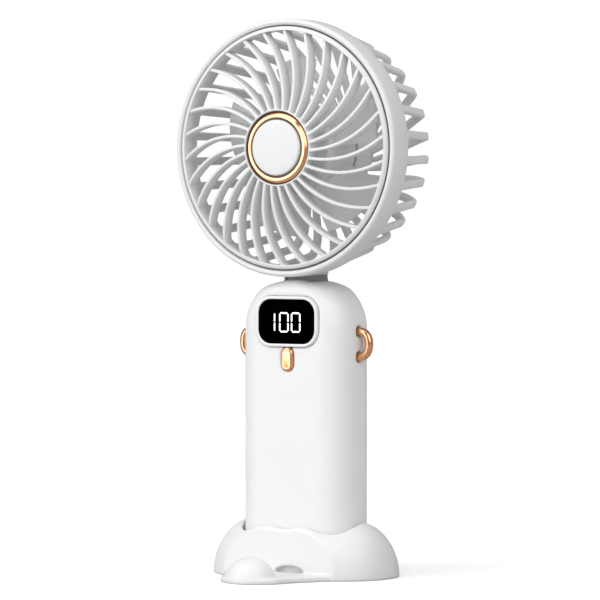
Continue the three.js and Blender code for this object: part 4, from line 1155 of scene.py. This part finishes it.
def make_world():
    """Soft light all round, before a white backdrop."""
    world = bpy.data.worlds.new("studio")
    world.use_nodes = True
    nodes, links = world.node_tree.nodes, world.node_tree.links
    backdrop = nodes["Background"]
    backdrop.inputs["Color"].default_value = (1, 1, 1, 1)
    path = nodes.new("ShaderNodeLightPath")
    level = nodes.new("ShaderNodeMapRange")
    level.inputs["To Min"].default_value = 0.33
    level.inputs["To Max"].default_value = 1.05
    links.new(path.outputs["Is Camera Ray"], level.inputs["Value"])
    links.new(level.outputs["Result"], backdrop.inputs["Strength"])
    bpy.context.scene.world = world


def lamp_at(name, light, place, target):
    lamp = bpy.data.objects.new(name, light)
    lamp.location = place
    lamp.rotation_euler = (Vector(target) - Vector(place)).to_track_quat("-Z", "Y").to_euler()
    bpy.context.scene.collection.objects.link(lamp)


def make_lights():
    aim = (0, 0, 0.11)
    key = bpy.data.lights.new("key_softbox", "AREA")
    key.shape = "RECTANGLE"
    key.size, key.size_y = 0.8, 0.9
    key.energy = 7.7
    lamp_at("key_softbox", key, (-0.65, -1.05, 0.45), aim)
    suns = (("sky_light", (-0.2, -0.35, 0.91), 1.32), ("side_fill", (0.75, -0.45, 0.48), 1.2))
    for name, toward, power in suns:
        sun = bpy.data.lights.new(name, "SUN")
        sun.energy = power
        sun.angle = math.radians(50)
        lamp_at(name, sun, toward, (0, 0, 0))


def make_camera():
    azimuth = math.radians(32)
    distance, lens = 1.5, 240
    eye_height, aim_height, aside = 0.144, 0.1031, -0.00225
    right = Vector((math.cos(azimuth), math.sin(azimuth), 0))
    toward = Vector((math.sin(azimuth), -math.cos(azimuth), 0))
    target = right * aside + Vector((0, 0, aim_height))
    eye = right * aside + toward * distance + Vector((0, 0, eye_height))
    lens_data = bpy.data.cameras.new("camera")
    lens_data.lens = lens
    lens_data.sensor_width = 36
    camera = bpy.data.objects.new("camera", lens_data)
    camera.location = eye
    camera.rotation_euler = (target - eye).to_track_quat("-Z", "Y").to_euler()
    bpy.context.scene.collection.objects.link(camera)
    bpy.context.scene.camera = camera


dress_cad_nodes()
make_stand()
make_handle()
make_display()
make_button()
make_loop(-1, "left")
make_loop(1, "right")
make_port()
make_grille()
make_housing()
make_hub_pieces()
make_seam_shade_rings()
make_knuckle()
make_impeller()
make_stage()
make_world()
make_lights()
make_camera()
bpy.context.scene.view_settings.view_transform = "Standard"
